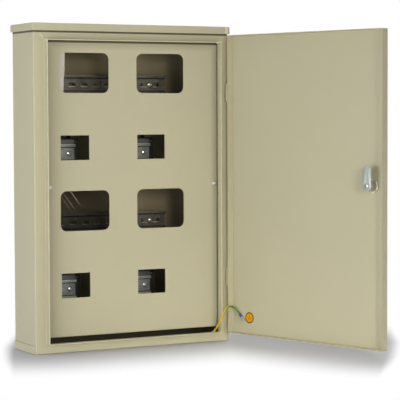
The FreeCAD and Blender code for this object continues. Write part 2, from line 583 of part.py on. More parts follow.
def stud_set(base, length):
    """Stud, washer under the ring terminal, and nut with a flat towards +X, standing up from base along Z."""
    stud = Part.makeCylinder(STUD_R, length + 1.0, V(0, 0, base - 1.0))
    stud = stud.makeChamfer(0.6, [e for e in stud.Edges if e.CenterOfMass.z > base + length - 0.1][:1])
    ring_top = base + WASHER_T + RING_T
    washer = Part.makeCylinder(WASHER_R, WASHER_T, V(0, 0, base))
    washer = washer.cut(Part.makeCylinder(STUD_R, WASHER_T, V(0, 0, base)))
    corner = EARTH_NUT_FLATS / math.sqrt(3)
    turns = [math.radians(60 * k + 30) for k in range(7)]
    points = [V(corner * math.cos(t), corner * math.sin(t), ring_top) for t in turns]
    nut_body = Part.Face(Part.makePolygon(points)).extrude(V(0, 0, EARTH_NUT_T))
    nut_body = nut_body.cut(Part.makeCylinder(STUD_R, EARTH_NUT_T, V(0, 0, ring_top)))
    return stud, washer, nut_body


def ring_terminal(base):
    """Ring terminal lying on a washer, its barrel towards +X, and the sleeve over the barrel."""
    z = base + WASHER_T
    barrel_z = z + SLEEVE_R
    ring = Part.makeCylinder(RING_R, RING_T, V(0, 0, z))
    tongue = Part.makeBox(SLEEVE_X - 1.0, 4.4, RING_T, V(2.0, -2.2, z))
    barrel = Part.makeCylinder(SLEEVE_R - SLEEVE_WALL, 4.0, V(SLEEVE_X - 1.0, 0, barrel_z), V(1, 0, 0))
    root = Part.makeBox(1.0, 4.4, barrel_z - z, V(SLEEVE_X - 1.0, -2.2, z))
    body = ring.fuse([tongue, root, barrel]).cut(Part.makeCylinder(STUD_R, 5, V(0, 0, z - 1))).removeSplitter()
    sleeve = Part.makeCylinder(SLEEVE_R, SLEEVE_L, V(SLEEVE_X, 0, barrel_z), V(1, 0, 0))
    sleeve = sleeve.makeChamfer(0.4, [e for e in sleeve.Edges if e.CenterOfMass.x < SLEEVE_X + 0.1][:1])
    return body, sleeve.cut(body), V(SLEEVE_X + SLEEVE_L, 0, barrel_z)


def placed(shape, *places):
    """The piece after each placement in turn, the last one applied first."""
    moved = shape.copy()
    for place in reversed(places):
        moved.transformShape(place.toMatrix(), True)
    return moved


# In the case the stud stands on the tray and its terminal points to the gap under the panel.
case_place = FreeCAD.Placement(V(CASE_STUD_X, CASE_STUD_Y, SHEET), FreeCAD.Rotation(V(0, 0, 1), CASE_TURN))
stud, washer, nut_body = stud_set(0.0, STUD_LONG)
ring, sleeve, exit_point = ring_terminal(0.0)
save("case_earth_stud", placed(stud, case_place))
save("case_earth_nut", group([placed(washer, case_place), placed(nut_body, case_place)]))
save("case_ring_terminal", placed(ring, case_place))
save("case_terminal_sleeve", placed(sleeve, case_place))

# On the door the stud stands off the inner face and its terminal points up towards the hinge.
on_door = FreeCAD.Placement(V(DOOR_STUD_X, DOOR_IN_Y, DOOR_STUD_Z),
                            FreeCAD.Rotation(V(1, 0, 0), V(0, 0, -1), V(0, 1, 0), "XZY"))
terminal_turn = FreeCAD.Placement(V(0, 0, 0), FreeCAD.Rotation(V(0, 0, 1), -DOOR_TERMINAL_TURN))
open_turn = FreeCAD.Placement(V(0, 0, 0), FreeCAD.Rotation(V(0, 0, 1), DOOR_ANGLE), V(AXIS_X, AXIS_Y, 0))
save("door_earth_stud", placed(stud.cut(box(-9, 9, -9, 9, -9, 0)), open_turn, on_door))
door_washer = placed(washer, open_turn, on_door, terminal_turn)
door_nut = placed(nut_body, open_turn, on_door, terminal_turn)
save("door_earth_nut", group([door_washer, door_nut]))
save("door_ring_terminal", placed(ring, open_turn, on_door, terminal_turn))
save("door_terminal_sleeve", placed(sleeve, open_turn, on_door, terminal_turn))
label = along_y(LABEL_R, LABEL_X, LABEL_Z, DOOR_IN_Y, DOOR_IN_Y + 0.3)
save("earth_label", swing(label))

# The bonding wire: straight runs joined by arcs, from one sleeve to the other.
case_exit = case_place.multVec(exit_point)
case_way = case_place.Rotation.multVec(V(1, 0, 0))
door_frame = open_turn.multiply(on_door).multiply(terminal_turn)
door_exit = door_frame.multVec(exit_point)
door_way = door_frame.Rotation.multVec(V(1, 0, 0))
wire_knots = [V(HALF + x, FRONT + y, z) for x, y, z in WIRE_KNOTS]
wire_points = [case_exit, case_exit + case_way * WIRE_LEAD[0]] + wire_knots
wire_points += [door_exit + door_way * WIRE_LEAD[1], door_exit]


def tube_line(points):
    """A wire of straight runs and tangent arcs through the corners of a bent line."""
    edges = []
    last = points[0]
    for a, b, c in zip(points, points[1:], points[2:]):
        d = (b - a).normalize()
        e = (c - b).normalize()
        turn = d.getAngle(e)
        shorter = min(a.distanceToPoint(b), b.distanceToPoint(c))
        reach = 0.45 * shorter
        start = b - d * reach
        end = b + e * reach
        radius = reach / math.tan(turn / 2)
        inward = (e - d).normalize()
        middle = b + inward * (radius / math.cos(turn / 2) - radius)
        edges.append(Part.LineSegment(last, start).toShape())
        edges.append(Part.Arc(start, middle, end).toShape())
        print("bend radius", round(radius, 1), "turn", round(math.degrees(turn)))
        last = end
    edges.append(Part.LineSegment(last, points[-1]).toShape())
    return Part.Wire(edges)


wire_line = tube_line(wire_points)
ring_edge = Part.Circle(wire_points[0], (wire_points[1] - wire_points[0]).normalize(), WIRE_R).toShape()
wire = wire_line.makePipeShell([Part.Wire([ring_edge])], True, False)
print("wire length", round(wire_line.Length, 1), "volume share",
      round(wire.Volume / (wire_line.Length * math.pi * WIRE_R ** 2), 4))
save("earth_wire", wire)
for name, point in (("wire start", wire_points[0]), ("wire end", wire_points[-1])):
    print(name, [round(v, 2) for v in (point.x, point.y, point.z - HEIGHT / 2)])
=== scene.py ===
import json
import math

import bmesh
import bpy
from bpy.props import FloatProperty, FloatVectorProperty, IntProperty, PointerProperty
from mathutils import Matrix, Vector


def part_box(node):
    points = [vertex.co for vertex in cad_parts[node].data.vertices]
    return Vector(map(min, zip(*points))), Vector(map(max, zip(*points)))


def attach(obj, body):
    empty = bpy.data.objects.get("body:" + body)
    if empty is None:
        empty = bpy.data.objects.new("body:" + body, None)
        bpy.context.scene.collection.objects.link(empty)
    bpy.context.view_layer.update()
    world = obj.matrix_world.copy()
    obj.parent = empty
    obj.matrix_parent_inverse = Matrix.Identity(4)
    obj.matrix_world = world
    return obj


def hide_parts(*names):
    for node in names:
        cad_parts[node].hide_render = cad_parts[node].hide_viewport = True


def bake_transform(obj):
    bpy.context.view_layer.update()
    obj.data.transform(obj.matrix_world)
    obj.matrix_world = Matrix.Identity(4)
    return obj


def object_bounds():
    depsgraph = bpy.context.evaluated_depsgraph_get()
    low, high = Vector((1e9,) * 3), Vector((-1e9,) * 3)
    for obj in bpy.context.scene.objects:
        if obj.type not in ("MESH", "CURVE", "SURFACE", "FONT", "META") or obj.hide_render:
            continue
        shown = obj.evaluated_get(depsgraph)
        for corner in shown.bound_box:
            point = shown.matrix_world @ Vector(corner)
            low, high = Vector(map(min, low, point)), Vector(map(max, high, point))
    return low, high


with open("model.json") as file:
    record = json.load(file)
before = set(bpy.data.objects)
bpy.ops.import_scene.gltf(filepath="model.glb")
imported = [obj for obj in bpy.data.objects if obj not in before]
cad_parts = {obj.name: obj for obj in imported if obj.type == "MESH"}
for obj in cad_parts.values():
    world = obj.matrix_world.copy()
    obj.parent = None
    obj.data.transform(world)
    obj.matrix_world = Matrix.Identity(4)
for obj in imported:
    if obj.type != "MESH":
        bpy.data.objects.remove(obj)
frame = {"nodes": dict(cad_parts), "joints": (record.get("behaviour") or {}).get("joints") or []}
CAD_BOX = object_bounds()

bl_info = {
    "name": "Electric meter box",
    "version": (1, 0, 0),
    "blender": (4, 5, 0),
    "location": "View3D > Sidebar > Meter box",
    "description": "Paint, glazing, fasteners, bonding wire and studio for a wall-hung meter box",
    "category": "Object",
}

NODES = frame["nodes"]
SIDES = ("lower_left", "lower_right", "upper_left", "upper_right")
ENDS = ("lower", "upper")
RIGHT, BACK, UP, FRONT = (1, 0, 0), (0, 1, 0), (0, 0, 1), (0, -1, 0)

# Places on the case, in metres.
HALF_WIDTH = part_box("body_wrap")[1].x
HALF_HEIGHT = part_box("top_end_plate")[1].z
FRAME_FACE = -0.1
LIP_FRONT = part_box("body_wrap")[0].y
LIP_X = 0.1775
LIP_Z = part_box("top_end_plate")[0].z
CAP_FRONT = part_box("rain_cap")[0].y
SKIRT_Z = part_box("rain_cap")[0].z
PANEL_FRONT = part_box("inner_panel")[0].y
PANEL_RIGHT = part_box("inner_panel")[1].x
PANEL_SCREW_X = (-0.1655, 0.1735)
PANEL_SCREW_Z = 0.003
PANE_LAP = 0.005
WINDOW_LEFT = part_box("window_pane_upper_left")[0].x + PANE_LAP
TRAY_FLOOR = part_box("bottom_tray")[0].z
RAIL_SHEET = 0.001
CASE_STUD = Vector((0.147, -0.058, -0.2988))

# The hinge, and places on the door as it lies when shut.
HINGE_JOINT = next(j for j in frame["joints"] if j["name"] == "door_hinge")
HINGE = Vector(HINGE_JOINT["pos_m"])
OPEN_ANGLE = math.radians(-HINGE_JOINT["range_deg"][0])
SWING = Matrix.Translation(HINGE) @ Matrix.Rotation(OPEN_ANGLE, 4, "Z") @ Matrix.Translation(-HINGE)
DOOR_INSIDE_Y = -0.1168
DOOR_FACE = DOOR_INSIDE_Y - HINGE.y
DOOR_REACH = 0.379
KNUCKLE_R = 0.00275
LOCK_X, LOCK_Z = -0.15145, 0.007
CAM_FACE_Y = DOOR_INSIDE_Y + 0.0205
DOOR_STUD_X, DOOR_STUD_Z = 0.16505, -0.2574


def on_door(x, y, z):
    """A place given on the shut door, as it lies on the open one."""
    return SWING @ Vector((x, y, z))


def door_way(x, y, z):
    """A direction given on the shut door, as it lies on the open one."""
    return SWING.to_3x3() @ Vector((x, y, z))


DOOR_RUN = door_way(-1, 0, 0)
DOOR_IN = door_way(0, 1, 0)


def every(stem, tails):
    """The names of like pieces."""
    return [stem + tail for tail in tails]


def middle(node):
    """The middle of a CAD piece's box."""
    low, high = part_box(node)
    return (low + high) / 2


# Settings that a user would change.

TONE = {"subtype": "COLOR", "min": 0, "max": 1}
METRES = {"unit": "LENGTH"}
ANGLE = {"subtype": "ANGLE"}


class PaintSettings(bpy.types.PropertyGroup):
    colour: FloatVectorProperty(name="Colour", description="Powder coat colour",
                                default=(0.47, 0.432, 0.292), **TONE)
    roughness: FloatProperty(name="Roughness", description="Gloss of the coat, 0 is a mirror",
                             default=0.46, min=0, max=1, subtype="FACTOR")
    peel: FloatProperty(name="Ripple", description="Size of the orange-peel ripple",
                        default=0.0012, **METRES)


class MetalSettings(bpy.types.PropertyGroup):
    zinc: FloatVectorProperty(name="Zinc", description="Colour of the plated rails",
                              default=(0.25, 0.26, 0.235), **TONE)
    spangle: FloatProperty(name="Spangle", description="Size of the crystals in the zinc",
                           default=0.006, **METRES)
    steel: FloatVectorProperty(name="Screw steel", description="Colour of the bright fasteners",
                               default=(0.72, 0.72, 0.68), **TONE)
    cam: FloatVectorProperty(name="Cam", description="Colour of the cast lock cam",
                             default=(0.4, 0.44, 0.41), **TONE)


class FastenerSettings(bpy.types.PropertyGroup):
    spin_seed: IntProperty(name="Spin seed", description="Picks how each screw's cross is turned", default=4)
    thread_pitch: FloatProperty(name="Thread pitch", description="Rise of the stud thread in one turn",
                                default=0.0007, **METRES)
    bead: FloatProperty(name="Weld bead", description="Radius of one ripple of the corner welds",
                        default=0.0019, **METRES)
    bead_step: FloatProperty(name="Weld step", description="Distance between weld ripples",
                             default=0.0032, **METRES)


class WireSettings(bpy.types.PropertyGroup):
    yellow: FloatVectorProperty(name="Yellow", description="Yellow half of the cover",
                                default=(0.72, 0.47, 0.025), **TONE)
    green: FloatVectorProperty(name="Green", description="Green half of the cover",
                               default=(0.06, 0.2, 0.025), **TONE)
    radius: FloatProperty(name="Radius", description="Outside radius of the wire", default=0.0019, **METRES)
    twist: FloatProperty(name="Twist", description="Turns of the stripe from end to end", default=0.55)
    phase: FloatProperty(name="Phase", description="Where the stripe starts, in turns", default=0.5)


class StageSettings(bpy.types.PropertyGroup):
    place: FloatVectorProperty(name="Camera", description="Camera position", subtype="TRANSLATION",
                               default=(-1.36798, -2.91837, 0.13794))
    lens: FloatProperty(name="Lens", description="Focal length in millimetres on a 36 mm sensor",
                        default=151.496)
    heading: FloatProperty(name="Heading", description="Turn of the view to the right of +Y",
                           default=math.radians(28.134), **ANGLE)
    tilt: FloatProperty(name="Tilt", description="Tilt of the view above the level",
                        default=math.radians(-2.968), **ANGLE)
    roll: FloatProperty(name="Roll", description="Roll of the camera", default=math.radians(-0.228), **ANGLE)
    sky: FloatProperty(name="Sky", description="Strength of the even light all round", default=0.2)
    key: FloatProperty(name="Key", description="Power of the lamp in front in watts", default=24.0)
    side: FloatProperty(name="Side", description="Power of the broad lamp at the left in watts",
                        default=27.0)
    fill: FloatProperty(name="Fill", description="Power of the broad lamp at the right in watts",
                        default=14.5)
    beam: FloatProperty(name="Beam", description="Power of the narrow lamp on the lower half in watts",
                        default=0.35)
    top: FloatProperty(name="Top", description="Power of the wide lamp overhead in watts", default=21.0)
    back: FloatProperty(name="Back", description="Power of the wide lamp behind in watts", default=30.0)


# Node trees written as Python.


def sum_of(operation):
    """An operator for Term and its reflected form."""
    def plain(self, other):
        return self.board.maths(operation, self, other)

    def reflected(self, other):
        return self.board.maths(operation, other, self)

    return plain, reflected


class Term:
    """A value socket that can stand in a Python sum."""

    def __init__(self, board, socket):
        self.board = board
        self.socket = socket

    __add__, __radd__ = sum_of("ADD")
    __sub__, __rsub__ = sum_of("SUBTRACT")
    __mul__, __rmul__ = sum_of("MULTIPLY")
    __truediv__, __rtruediv__ = sum_of("DIVIDE")

    def __abs__(self):
        return self.board.maths("ABSOLUTE", self)


class Board:
    """A node tree that is filled node by node."""

    def __init__(self, tree):
        self.tree = tree

    def feed(self, socket, value):
        """Links a term, a socket or a node's first output to a socket, or sets a plain value there."""
        if isinstance(value, Term):
            value = value.socket
        elif isinstance(value, bpy.types.Node):
            value = value.outputs[0]
        if isinstance(value, bpy.types.NodeSocket):
            self.tree.links.new(value, socket)
        else:
            socket.default_value = value

    def add(self, kind, sockets=None, **settings):
        """A node of a kind: its settings are made first, then the values or links of its sockets."""
        node = self.tree.nodes.new(kind)
        for key, value in settings.items():
            setattr(node, key, value)
        for key, value in (sockets or {}).items():
            self.feed(node.inputs[key], value)
        return node

    def term(self, kind, sockets, output=0, **settings):
        """One output of a new node, to reckon with."""
        return Term(self, self.add(kind, sockets, **settings).outputs[output])

    def maths(self, operation, *values):
        """A Math node on values."""
        return self.term("ShaderNodeMath", dict(enumerate(values)), operation=operation)

    def most(self, first, *others):
        """The largest of the values."""
        for other in others:
            first = self.maths("MAXIMUM", first, other)
        return first

    def least(self, first, *others):
        """The smallest of the values."""
        for other in others:
            first = self.maths("MINIMUM", first, other)
        return first

    def span(self, along, aside):
        """Length of a step whose two legs are square to each other."""
        return self.maths("SQRT", along * along + aside * aside)

    def overlay(self, out, share, under, over):
        """Links two shaders to an output, the second laid over the first by a share."""
        self.feed(out.inputs[0], self.add("ShaderNodeMixShader", {0: share, 1: under, 2: over}))


class Finish(Board):
    """A procedural material with one Principled shader."""

    def __init__(self, name):
        self.material = bpy.data.materials.new(name)
        self.material.use_nodes = True
        super().__init__(self.material.node_tree)
        self.tree.nodes.clear()
        self.out = self.add("ShaderNodeOutputMaterial")
        self.shader = self.add("ShaderNodeBsdfPrincipled")
        self.feed(self.out.inputs[0], self.shader)
        self.place = self.add("ShaderNodeTexCoord").outputs["Object"]

    def along(self, direction, origin=(0, 0, 0)):
        """Distance of a point from origin along a direction, in metres."""
        moved = self.add("ShaderNodeVectorMath", {0: self.place, 1: origin}, operation="SUBTRACT")
        unit = Vector(direction).normalized()
        return self.term("ShaderNodeVectorMath", {0: moved, 1: unit}, "Value", operation="DOT_PRODUCT")

    def door_place(self):
        """Distances from the hinge along the open door and out of its inner face, in metres."""
        return self.along(DOOR_RUN, HINGE), self.along(DOOR_IN, HINGE)

    def stretched(self, scale):
        """The place with its axes stretched, for drawn or brushed patterns."""
        return self.add("ShaderNodeVectorMath", {0: self.place, 1: scale}, operation="MULTIPLY").outputs[0]

    def noise(self, size, detail=2.0, place=None):
        """Cloudy values from 0 to 1 whose blobs are about size metres across."""
        return self.term("ShaderNodeTexNoise", {"Vector": place or self.place, "Scale": 1.0 / size,
                                                "Detail": detail, "Roughness": 0.55})

    def crystals(self, size):
        """One grey value for each crystal of about size metres."""
        cells = self.add("ShaderNodeTexVoronoi", {"Vector": self.place, "Scale": 1.0 / size})
        return self.term("ShaderNodeSeparateColor", {0: cells.outputs["Color"]})

    def step(self, value, low, high):
        """A smooth change from 0 at low to 1 at high."""
        return self.term("ShaderNodeMapRange", {"Value": value, "From Min": low, "From Max": high},
                         interpolation_type="SMOOTHSTEP")

    def near(self, value, place, outer, inner):
        """1 within the inner distance of a place and 0 past the outer one."""
        return self.step(abs(value - place), outer, inner)

    def band(self, value, rise, fall):
        """1 between two edges, each given by where it is 0 and where it is 1."""
        return self.step(value, *rise) * self.step(value, *fall)

    def tint(self, share, first, second):
        """A colour between two others."""
        a, b = [c if isinstance(c, bpy.types.NodeSocket) else (*c, 1) for c in (first, second)]
        return self.add("ShaderNodeMix", {0: share, 6: a, 7: b}, data_type="RGBA").outputs[2]

    def ripple(self, height, strength, distance):
        """A bumped normal from a height."""
        return self.add("ShaderNodeBump", {"Height": height, "Strength": strength, "Distance": distance})

    def lay(self, **sockets):
        """Sets or links the shader's sockets by name, underscores for spaces."""
        for key, value in sockets.items():
            self.feed(self.shader.inputs[key.replace("_", " ")], value)
        return self.material


def lighter(colour, share):
    """A colour times a share, kept between 0 and 1."""
    return tuple(max(0.0, min(1.0, c * share)) for c in colour)


# The powder coat, with painted shade and painted highlights laid over it.


def inside_of(coat):
    """1 on the inner faces of the shell, from half a sheet inside it, where the coat is darkened as painted
    shade.
    """
    outer, inner = 0.0004, 0.0008
    behind_panel = (PANEL_FRONT + 0.0009, PANEL_FRONT + 0.0013)
    inside = coat.band(coat.along(BACK), behind_panel, (-outer, -inner))
    for way, half in ((RIGHT, HALF_WIDTH), (UP, HALF_HEIGHT)):
        inside = inside * coat.near(coat.along(way), 0.0, half - outer, half - inner)
    return inside


def on_panel(coat):
    """1 on the sheet of the inner panel."""
    sheet = coat.near(coat.along(BACK), PANEL_FRONT + 0.0005, outer=0.0015, inner=0.0009)
    return sheet * coat.near(coat.along(RIGHT), 0.0, PANEL_RIGHT + 0.004, PANEL_RIGHT + 0.002)


def seams(coat):
    """Painted shadow lines on the wall below the skirt of the rain cap and on the panel below the upper lip.
    """
    up = coat.along(UP)
    wall = coat.band(up, (SKIRT_Z - 0.0042, SKIRT_Z - 0.0026), (SKIRT_Z + 0.0002, SKIRT_Z - 0.0001))
    wall = wall * coat.step(coat.along(BACK), CAP_FRONT + 0.001, CAP_FRONT + 0.0016)
    panel = coat.step(up, LIP_Z - 0.0046, LIP_Z - 0.0026) * on_panel(coat)
    return coat.most(wall * 0.95, panel * 0.92)


def painted_lip_shade(coat):
    """Painted shade on the inner panel, thinning out from the lips that stand round it."""
    across = coat.along(RIGHT)
    left = coat.step(across, 0.0275 - LIP_X, 0.0005 - LIP_X)
    right = coat.step(across, LIP_X - 0.0135, LIP_X - 0.0025)
    top = coat.step(coat.along(UP), LIP_Z - 0.02, LIP_Z - 0.003)
    return on_panel(coat) * coat.most(left * 0.62, right * 0.3, top * 0.4)


def lip_edge_highlight(coat):
    """1 on the front edge of the gutter lips, which is painted pale as a highlight."""
    edge = coat.step(coat.along(BACK), LIP_FRONT + 0.0017, LIP_FRONT + 0.0009)
    return edge * coat.step(coat.along(RIGHT), PANEL_RIGHT + 0.004, PANEL_RIGHT + 0.002)


def door_rim_shade(coat):
    """1 on the outer wall of the door's free edge, which is darkened as painted shade."""
    run, _ = coat.door_place()
    return coat.step(DOOR_REACH - run, 0.0009, 0.0005)


def door_edge_light(coat):
    """1 on the inside of the door along its free edge, lightened there as painted light over the flange's
    shadow.
    """
    run, aside = coat.door_place()
    from_edge = DOOR_REACH - run
    strip = coat.band(from_edge, (0.029, 0.012), (0.0012, 0.0015))
    return strip * coat.step(aside, DOOR_FACE - 0.00075, DOOR_FACE - 0.00035)


def hinge_light(coat):
    """1 on the hinge knuckles, and a share on the folded edge of the door beside them, lightened as painted
    light where they lie in shade.
    """
    run, aside = coat.door_place()
    knuckle = coat.step(coat.span(run, aside), KNUCKLE_R + 0.00025, KNUCKLE_R + 0.00015)
    fold = coat.near(run, 0.0038, outer=0.0009, inner=0.0006)
    fold = fold * coat.band(aside, (DOOR_FACE + 0.00115, DOOR_FACE + 0.00225), (0.004, 0.003))
    return coat.most(knuckle, fold * 0.4)


def powder_coat(settings):
    """Beige powder coat: fine orange peel, faint clouds and fine specks, under painted shade and painted
    light.
    """
    def shade(share):
        return lighter(settings.colour, share)

    coat = Finish("powder_coat")
    cloud = coat.noise(size=0.12, detail=3)
    fleck = coat.noise(size=0.0006, detail=1)
    peel = coat.noise(size=settings.peel)
    # The inner faces and the inside of the tray are darkened as painted shade.
    inside = inside_of(coat)
    painted_tray_shade = inside * coat.step(coat.along(UP), TRAY_FLOOR + 0.038, TRAY_FLOOR + 0.026)
    speck = coat.step(fleck, 0.62, 0.8) * 0.25
    # Colour of the painted shadow lines below the cap skirt and the upper lip.
    shadow_line_colour = (0.06, 0.05, 0.022)
    # Every layer but the specks is painted shade or painted light.
    layers = ((inside, shade(0.52)), (painted_tray_shade, shade(0.16)), (painted_lip_shade(coat), shade(0.45)),
              (seams(coat), shadow_line_colour), (door_rim_shade(coat), shade(0.76)), (lip_edge_highlight(coat), shade(1.35)),
              (door_edge_light(coat), shade(1.17)), (hinge_light(coat), shade(1.4)), (speck, shade(0.86)))
    colour = coat.tint(cloud, shade(0.97), shade(1.03))
    for mask, layer in layers:
        colour = coat.tint(mask, colour, layer)
    return coat.lay(Base_Color=colour, Roughness=settings.roughness - 0.05 + 0.1 * cloud,
                    Specular_IOR_Level=0.3, Normal=coat.ripple(peel, strength=0.16, distance=0.0003))


# The other finishes.


def from_rails(zinc, rails, drop=0.0):
    """Height above or below the middle of the nearest rail, or a line that is a drop under it."""
    return zinc.least(*[abs(zinc.along(UP, middle(rail) - Vector((0, 0, drop)))) for rail in rails])


def slot_highlights(zinc, rails):
    """Painted highlights under the slots of the meter rails."""
    pitch, first = 0.025, 0.0105
    across = zinc.along(RIGHT) + (0.5 * pitch - first)
    off = abs(across - zinc.maths("FLOOR", across / pitch, 0.0) * pitch - 0.5 * pitch)
    rim = zinc.step(from_rails(zinc, rails, drop=0.0037), 0.0009, 0.0005)
    return rim * zinc.step(off, 0.0068, 0.0058)


def shade_past_rails(zinc, rails):
    """1 just past the right ends of the rails, where the stand-offs get painted shade."""
    strips = []
    for rail in rails:
        across = zinc.along(RIGHT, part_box(rail)[1])
        strips.append(zinc.band(across, (0.0004, 0.0012), (0.03, 0.029)))
    return zinc.most(*strips)


def zinc_plate(name, shade, spangle, rails=(), rub=0.0, slots=(), past=()):
    """Galvanised sheet with crystals, drawn lines and duller patches, with painted highlights on the rails'
    folds and brims and painted shade in their grooves.
    """
    zinc = Finish(name)
    crystal = zinc.crystals(spangle)
    drawn = zinc.noise(size=0.0006, place=zinc.stretched((0.06, 1, 1)))
    patch = zinc.noise(size=0.03)
    colour = zinc.tint(crystal * 0.7 + patch * 0.3, lighter(shade, 0.72), lighter(shade, 1.12))
    # Painted shade in the channel corners and painted highlights on the folds and brims; rub sets how bright
    # the highlights are.
    if rails:
        height = from_rails(zinc, rails)
        groove_shade = zinc.band(height, (0.0106, 0.0112), (0.0125, 0.0122))
        fold = zinc.band(height, (0.0123, 0.0126), (0.0142, 0.0136))
        brim = zinc.step(height, 0.0166, 0.0171)
        bright = zinc.most(fold, brim) * (0.5 + 0.5 * patch) * rub
        colour = zinc.tint(groove_shade * 0.85, colour, (0.012, 0.012, 0.01))
        colour = zinc.tint(bright, colour, lighter(shade, 2.4))
    if slots:
        colour = zinc.tint(slot_highlights(zinc, slots) * (0.4 + 0.6 * patch), colour, lighter(shade, 4.0))
    if past:
        colour = zinc.tint(shade_past_rails(zinc, past), colour, lighter(shade, 0.22))
    return zinc.lay(Base_Color=colour, Metallic=0.82, Roughness=0.34 + 0.14 * crystal + 0.1 * drawn,
                    Normal=zinc.ripple(drawn, strength=0.08, distance=0.0002))


def bright_steel(name, colour, rough, metallic=0.95):
    """Plated fastener steel with handling marks."""
    steel = Finish(name)
    mark = steel.noise(size=0.0011, detail=3)
    smear = steel.noise(size=0.006)
    shade = steel.tint(smear, lighter(colour, 0.8), lighter(colour, 1.1))
    return steel.lay(Base_Color=shade, Metallic=metallic, Roughness=rough + 0.16 * mark,
                     Normal=steel.ripple(mark, strength=0.12, distance=0.0002))


def threaded(name, colour, axis, origin, pitch):
    """Machined metal whose thread is a bump along an axis."""
    metal = Finish(name)
    wave = metal.maths("SINE", metal.along(axis, origin) * (2 * math.pi / pitch))
    mark = metal.noise(size=0.001, detail=3)
    shade = metal.tint(mark, lighter(colour, 0.75), lighter(colour, 1.05))
    return metal.lay(Base_Color=shade, Metallic=0.95, Roughness=0.22 + 0.12 * mark,
                     Normal=metal.ripple(wave, strength=0.5, distance=0.0003))


def clear_pane(name, streak, depth):
    """Clear sheet: mirror where the light grazes it, see-through elsewhere, with a faint film and the pale
    marks that streak gives, painted reflections on two panes.
    """
    pane = Finish(name)
    film = pane.noise(size=0.05, detail=3)
    rub = pane.noise(size=0.0016, place=pane.stretched((0.5, 1, 0.12)))
    graze = pane.term("ShaderNodeFresnel", {"IOR": 1.49})
    veil = streak(pane)
    milky = pane.step(veil, 0.03, 0.06)
    share = graze * 0.03 + 0.002 * film + veil
    clear = pane.add("ShaderNodeBsdfTransparent", {"Color": (*lighter((0.97, 0.94, 0.9), depth), 1)})
    pane.overlay(pane.out, share, clear, pane.shader)
    tone = pane.tint(milky, (0.9, 0.91, 0.88), (0.88, 0.84, 0.74))
    return pane.lay(Base_Color=tone, Metallic=1 - milky, Roughness=0.05 + 0.05 * rub + 0.5 * milky)


def vinyl(name, colour, size):
    """Soft vinyl with a fine moulded grain."""
    skin = Finish(name)
    grain = skin.noise(size)
    shade = skin.tint(grain, lighter(colour, 0.85), lighter(colour, 1.15))
    return skin.lay(Base_Color=shade, Roughness=0.36 + 0.14 * grain,
                    Normal=skin.ripple(grain, strength=0.1, distance=0.0002))


def earth_film(centre):
    """Round orange film with a darker rim and the earth sign in a deeper orange."""
    film = Finish("label_film")
    across = film.along(door_way(1, 0, 0), centre)
    up = film.along(UP, centre)
    reach = film.span(across, up)
    rim = film.step(reach, 0.0081, 0.0088)
    ring = film.near(reach, 0.0074, outer=0.0007, inner=0.0003)
    sign = film.near(across, 0.0, 0.0008, 0.0005) * film.near(up, 0.0024, 0.0029, 0.0025)
    for height, half in ((-0.0002, 0.0045), (-0.0021, 0.003), (-0.004, 0.0015)):
        bar = film.near(up, height, 0.0007, 0.0004) * film.near(across, 0.0, half + 0.0002, half - 0.0002)
        sign = film.most(sign, bar)
    print_wear = film.noise(size=0.0015)
    ink = film.most(sign, ring * 0.35) * (0.8 + 0.2 * print_wear)
    colour = film.tint(film.noise(size=0.008), (0.66, 0.29, 0.001), (0.73, 0.35, 0.002))
    colour = film.tint(ink, colour, (0.4, 0.1, 0.001))
    colour = film.tint(rim, colour, (0.16, 0.075, 0.008))
    return film.lay(Base_Color=colour, Roughness=0.4 + 0.1 * print_wear, Specular_IOR_Level=0.1)


def wire_cover(settings):
    """Two-colour vinyl: a green and a yellow stripe that wind slowly round the wire."""
    cover = Finish("wire_cover")
    lay = cover.add("ShaderNodeUVMap", uv_map="lay")
    run, turn = [cover.term("ShaderNodeSeparateXYZ", {0: lay}, axis) for axis in ("X", "Y")]
    wound = cover.maths("FRACT", turn + run * settings.twist + settings.phase + 2.0)
    green = cover.near(wound, 0.5, outer=0.26, inner=0.2)
    grain = cover.noise(size=0.0009)
    yellow = cover.tint(grain, lighter(settings.yellow, 0.9), lighter(settings.yellow, 1.05))
    return cover.lay(Base_Color=cover.tint(green, yellow, settings.green), Roughness=0.38 + 0.1 * grain,
                     Normal=cover.ripple(grain, strength=0.06, distance=0.0002))


# Meshes.


def placed(name, data):
    """A new object in the scene."""
    item = bpy.data.objects.new(name, data)
    bpy.context.scene.collection.objects.link(item)
    return item


def piece_from(mesh_maker, name, material):
    """A new object whose mesh is filled by mesh_maker."""
    mesh = bpy.data.meshes.new(name)
    work = bmesh.new()
    mesh_maker(work)
    work.to_mesh(mesh)
    work.free()
    if material is not None:
        mesh.materials.append(material)
    return placed(name, mesh)


def plain_mesh(item):
    """A new mesh of what an object shows once its curve or modifiers are worked out."""
    bpy.context.view_layer.update()
    view = bpy.context.evaluated_depsgraph_get()
    return bpy.data.meshes.new_from_object(item.evaluated_get(view), depsgraph=view)


def settled(piece):
    """The piece with its modifiers worked into a plain mesh."""
    mesh = plain_mesh(piece)
    mesh.name = piece.name
    piece.modifiers.clear()
    old = piece.data
    piece.data = mesh
    bpy.data.meshes.remove(old)
    return piece


def smooth(piece, angle=35):
    """Smooth shading with edges kept above an angle."""
    piece.data.shade_smooth()
    piece.data.set_sharp_from_angle(angle=math.radians(angle))


def pairs(ring):
    """Each item of a closed ring with the one after it."""
    return zip(ring, ring[1:] + ring[:1])


def turned(work, profile, steps):
    """Spins an outline about Z into rings; a radius or height may be a function of the angle."""
    rings = []
    for radius, height in profile:
        ring = []
        for k in range(steps):
            angle = 2 * math.pi * k / steps
            r = radius(angle) if callable(radius) else radius
            z = height(angle) if callable(height) else height
            ring.append(work.verts.new((r * math.cos(angle), r * math.sin(angle), z)))
        rings.append(ring)
    for low, high in zip(rings, rings[1:]):
        for (a, b), (c, d) in zip(pairs(low), pairs(high)):
            work.faces.new((a, b, d, c))
    return rings


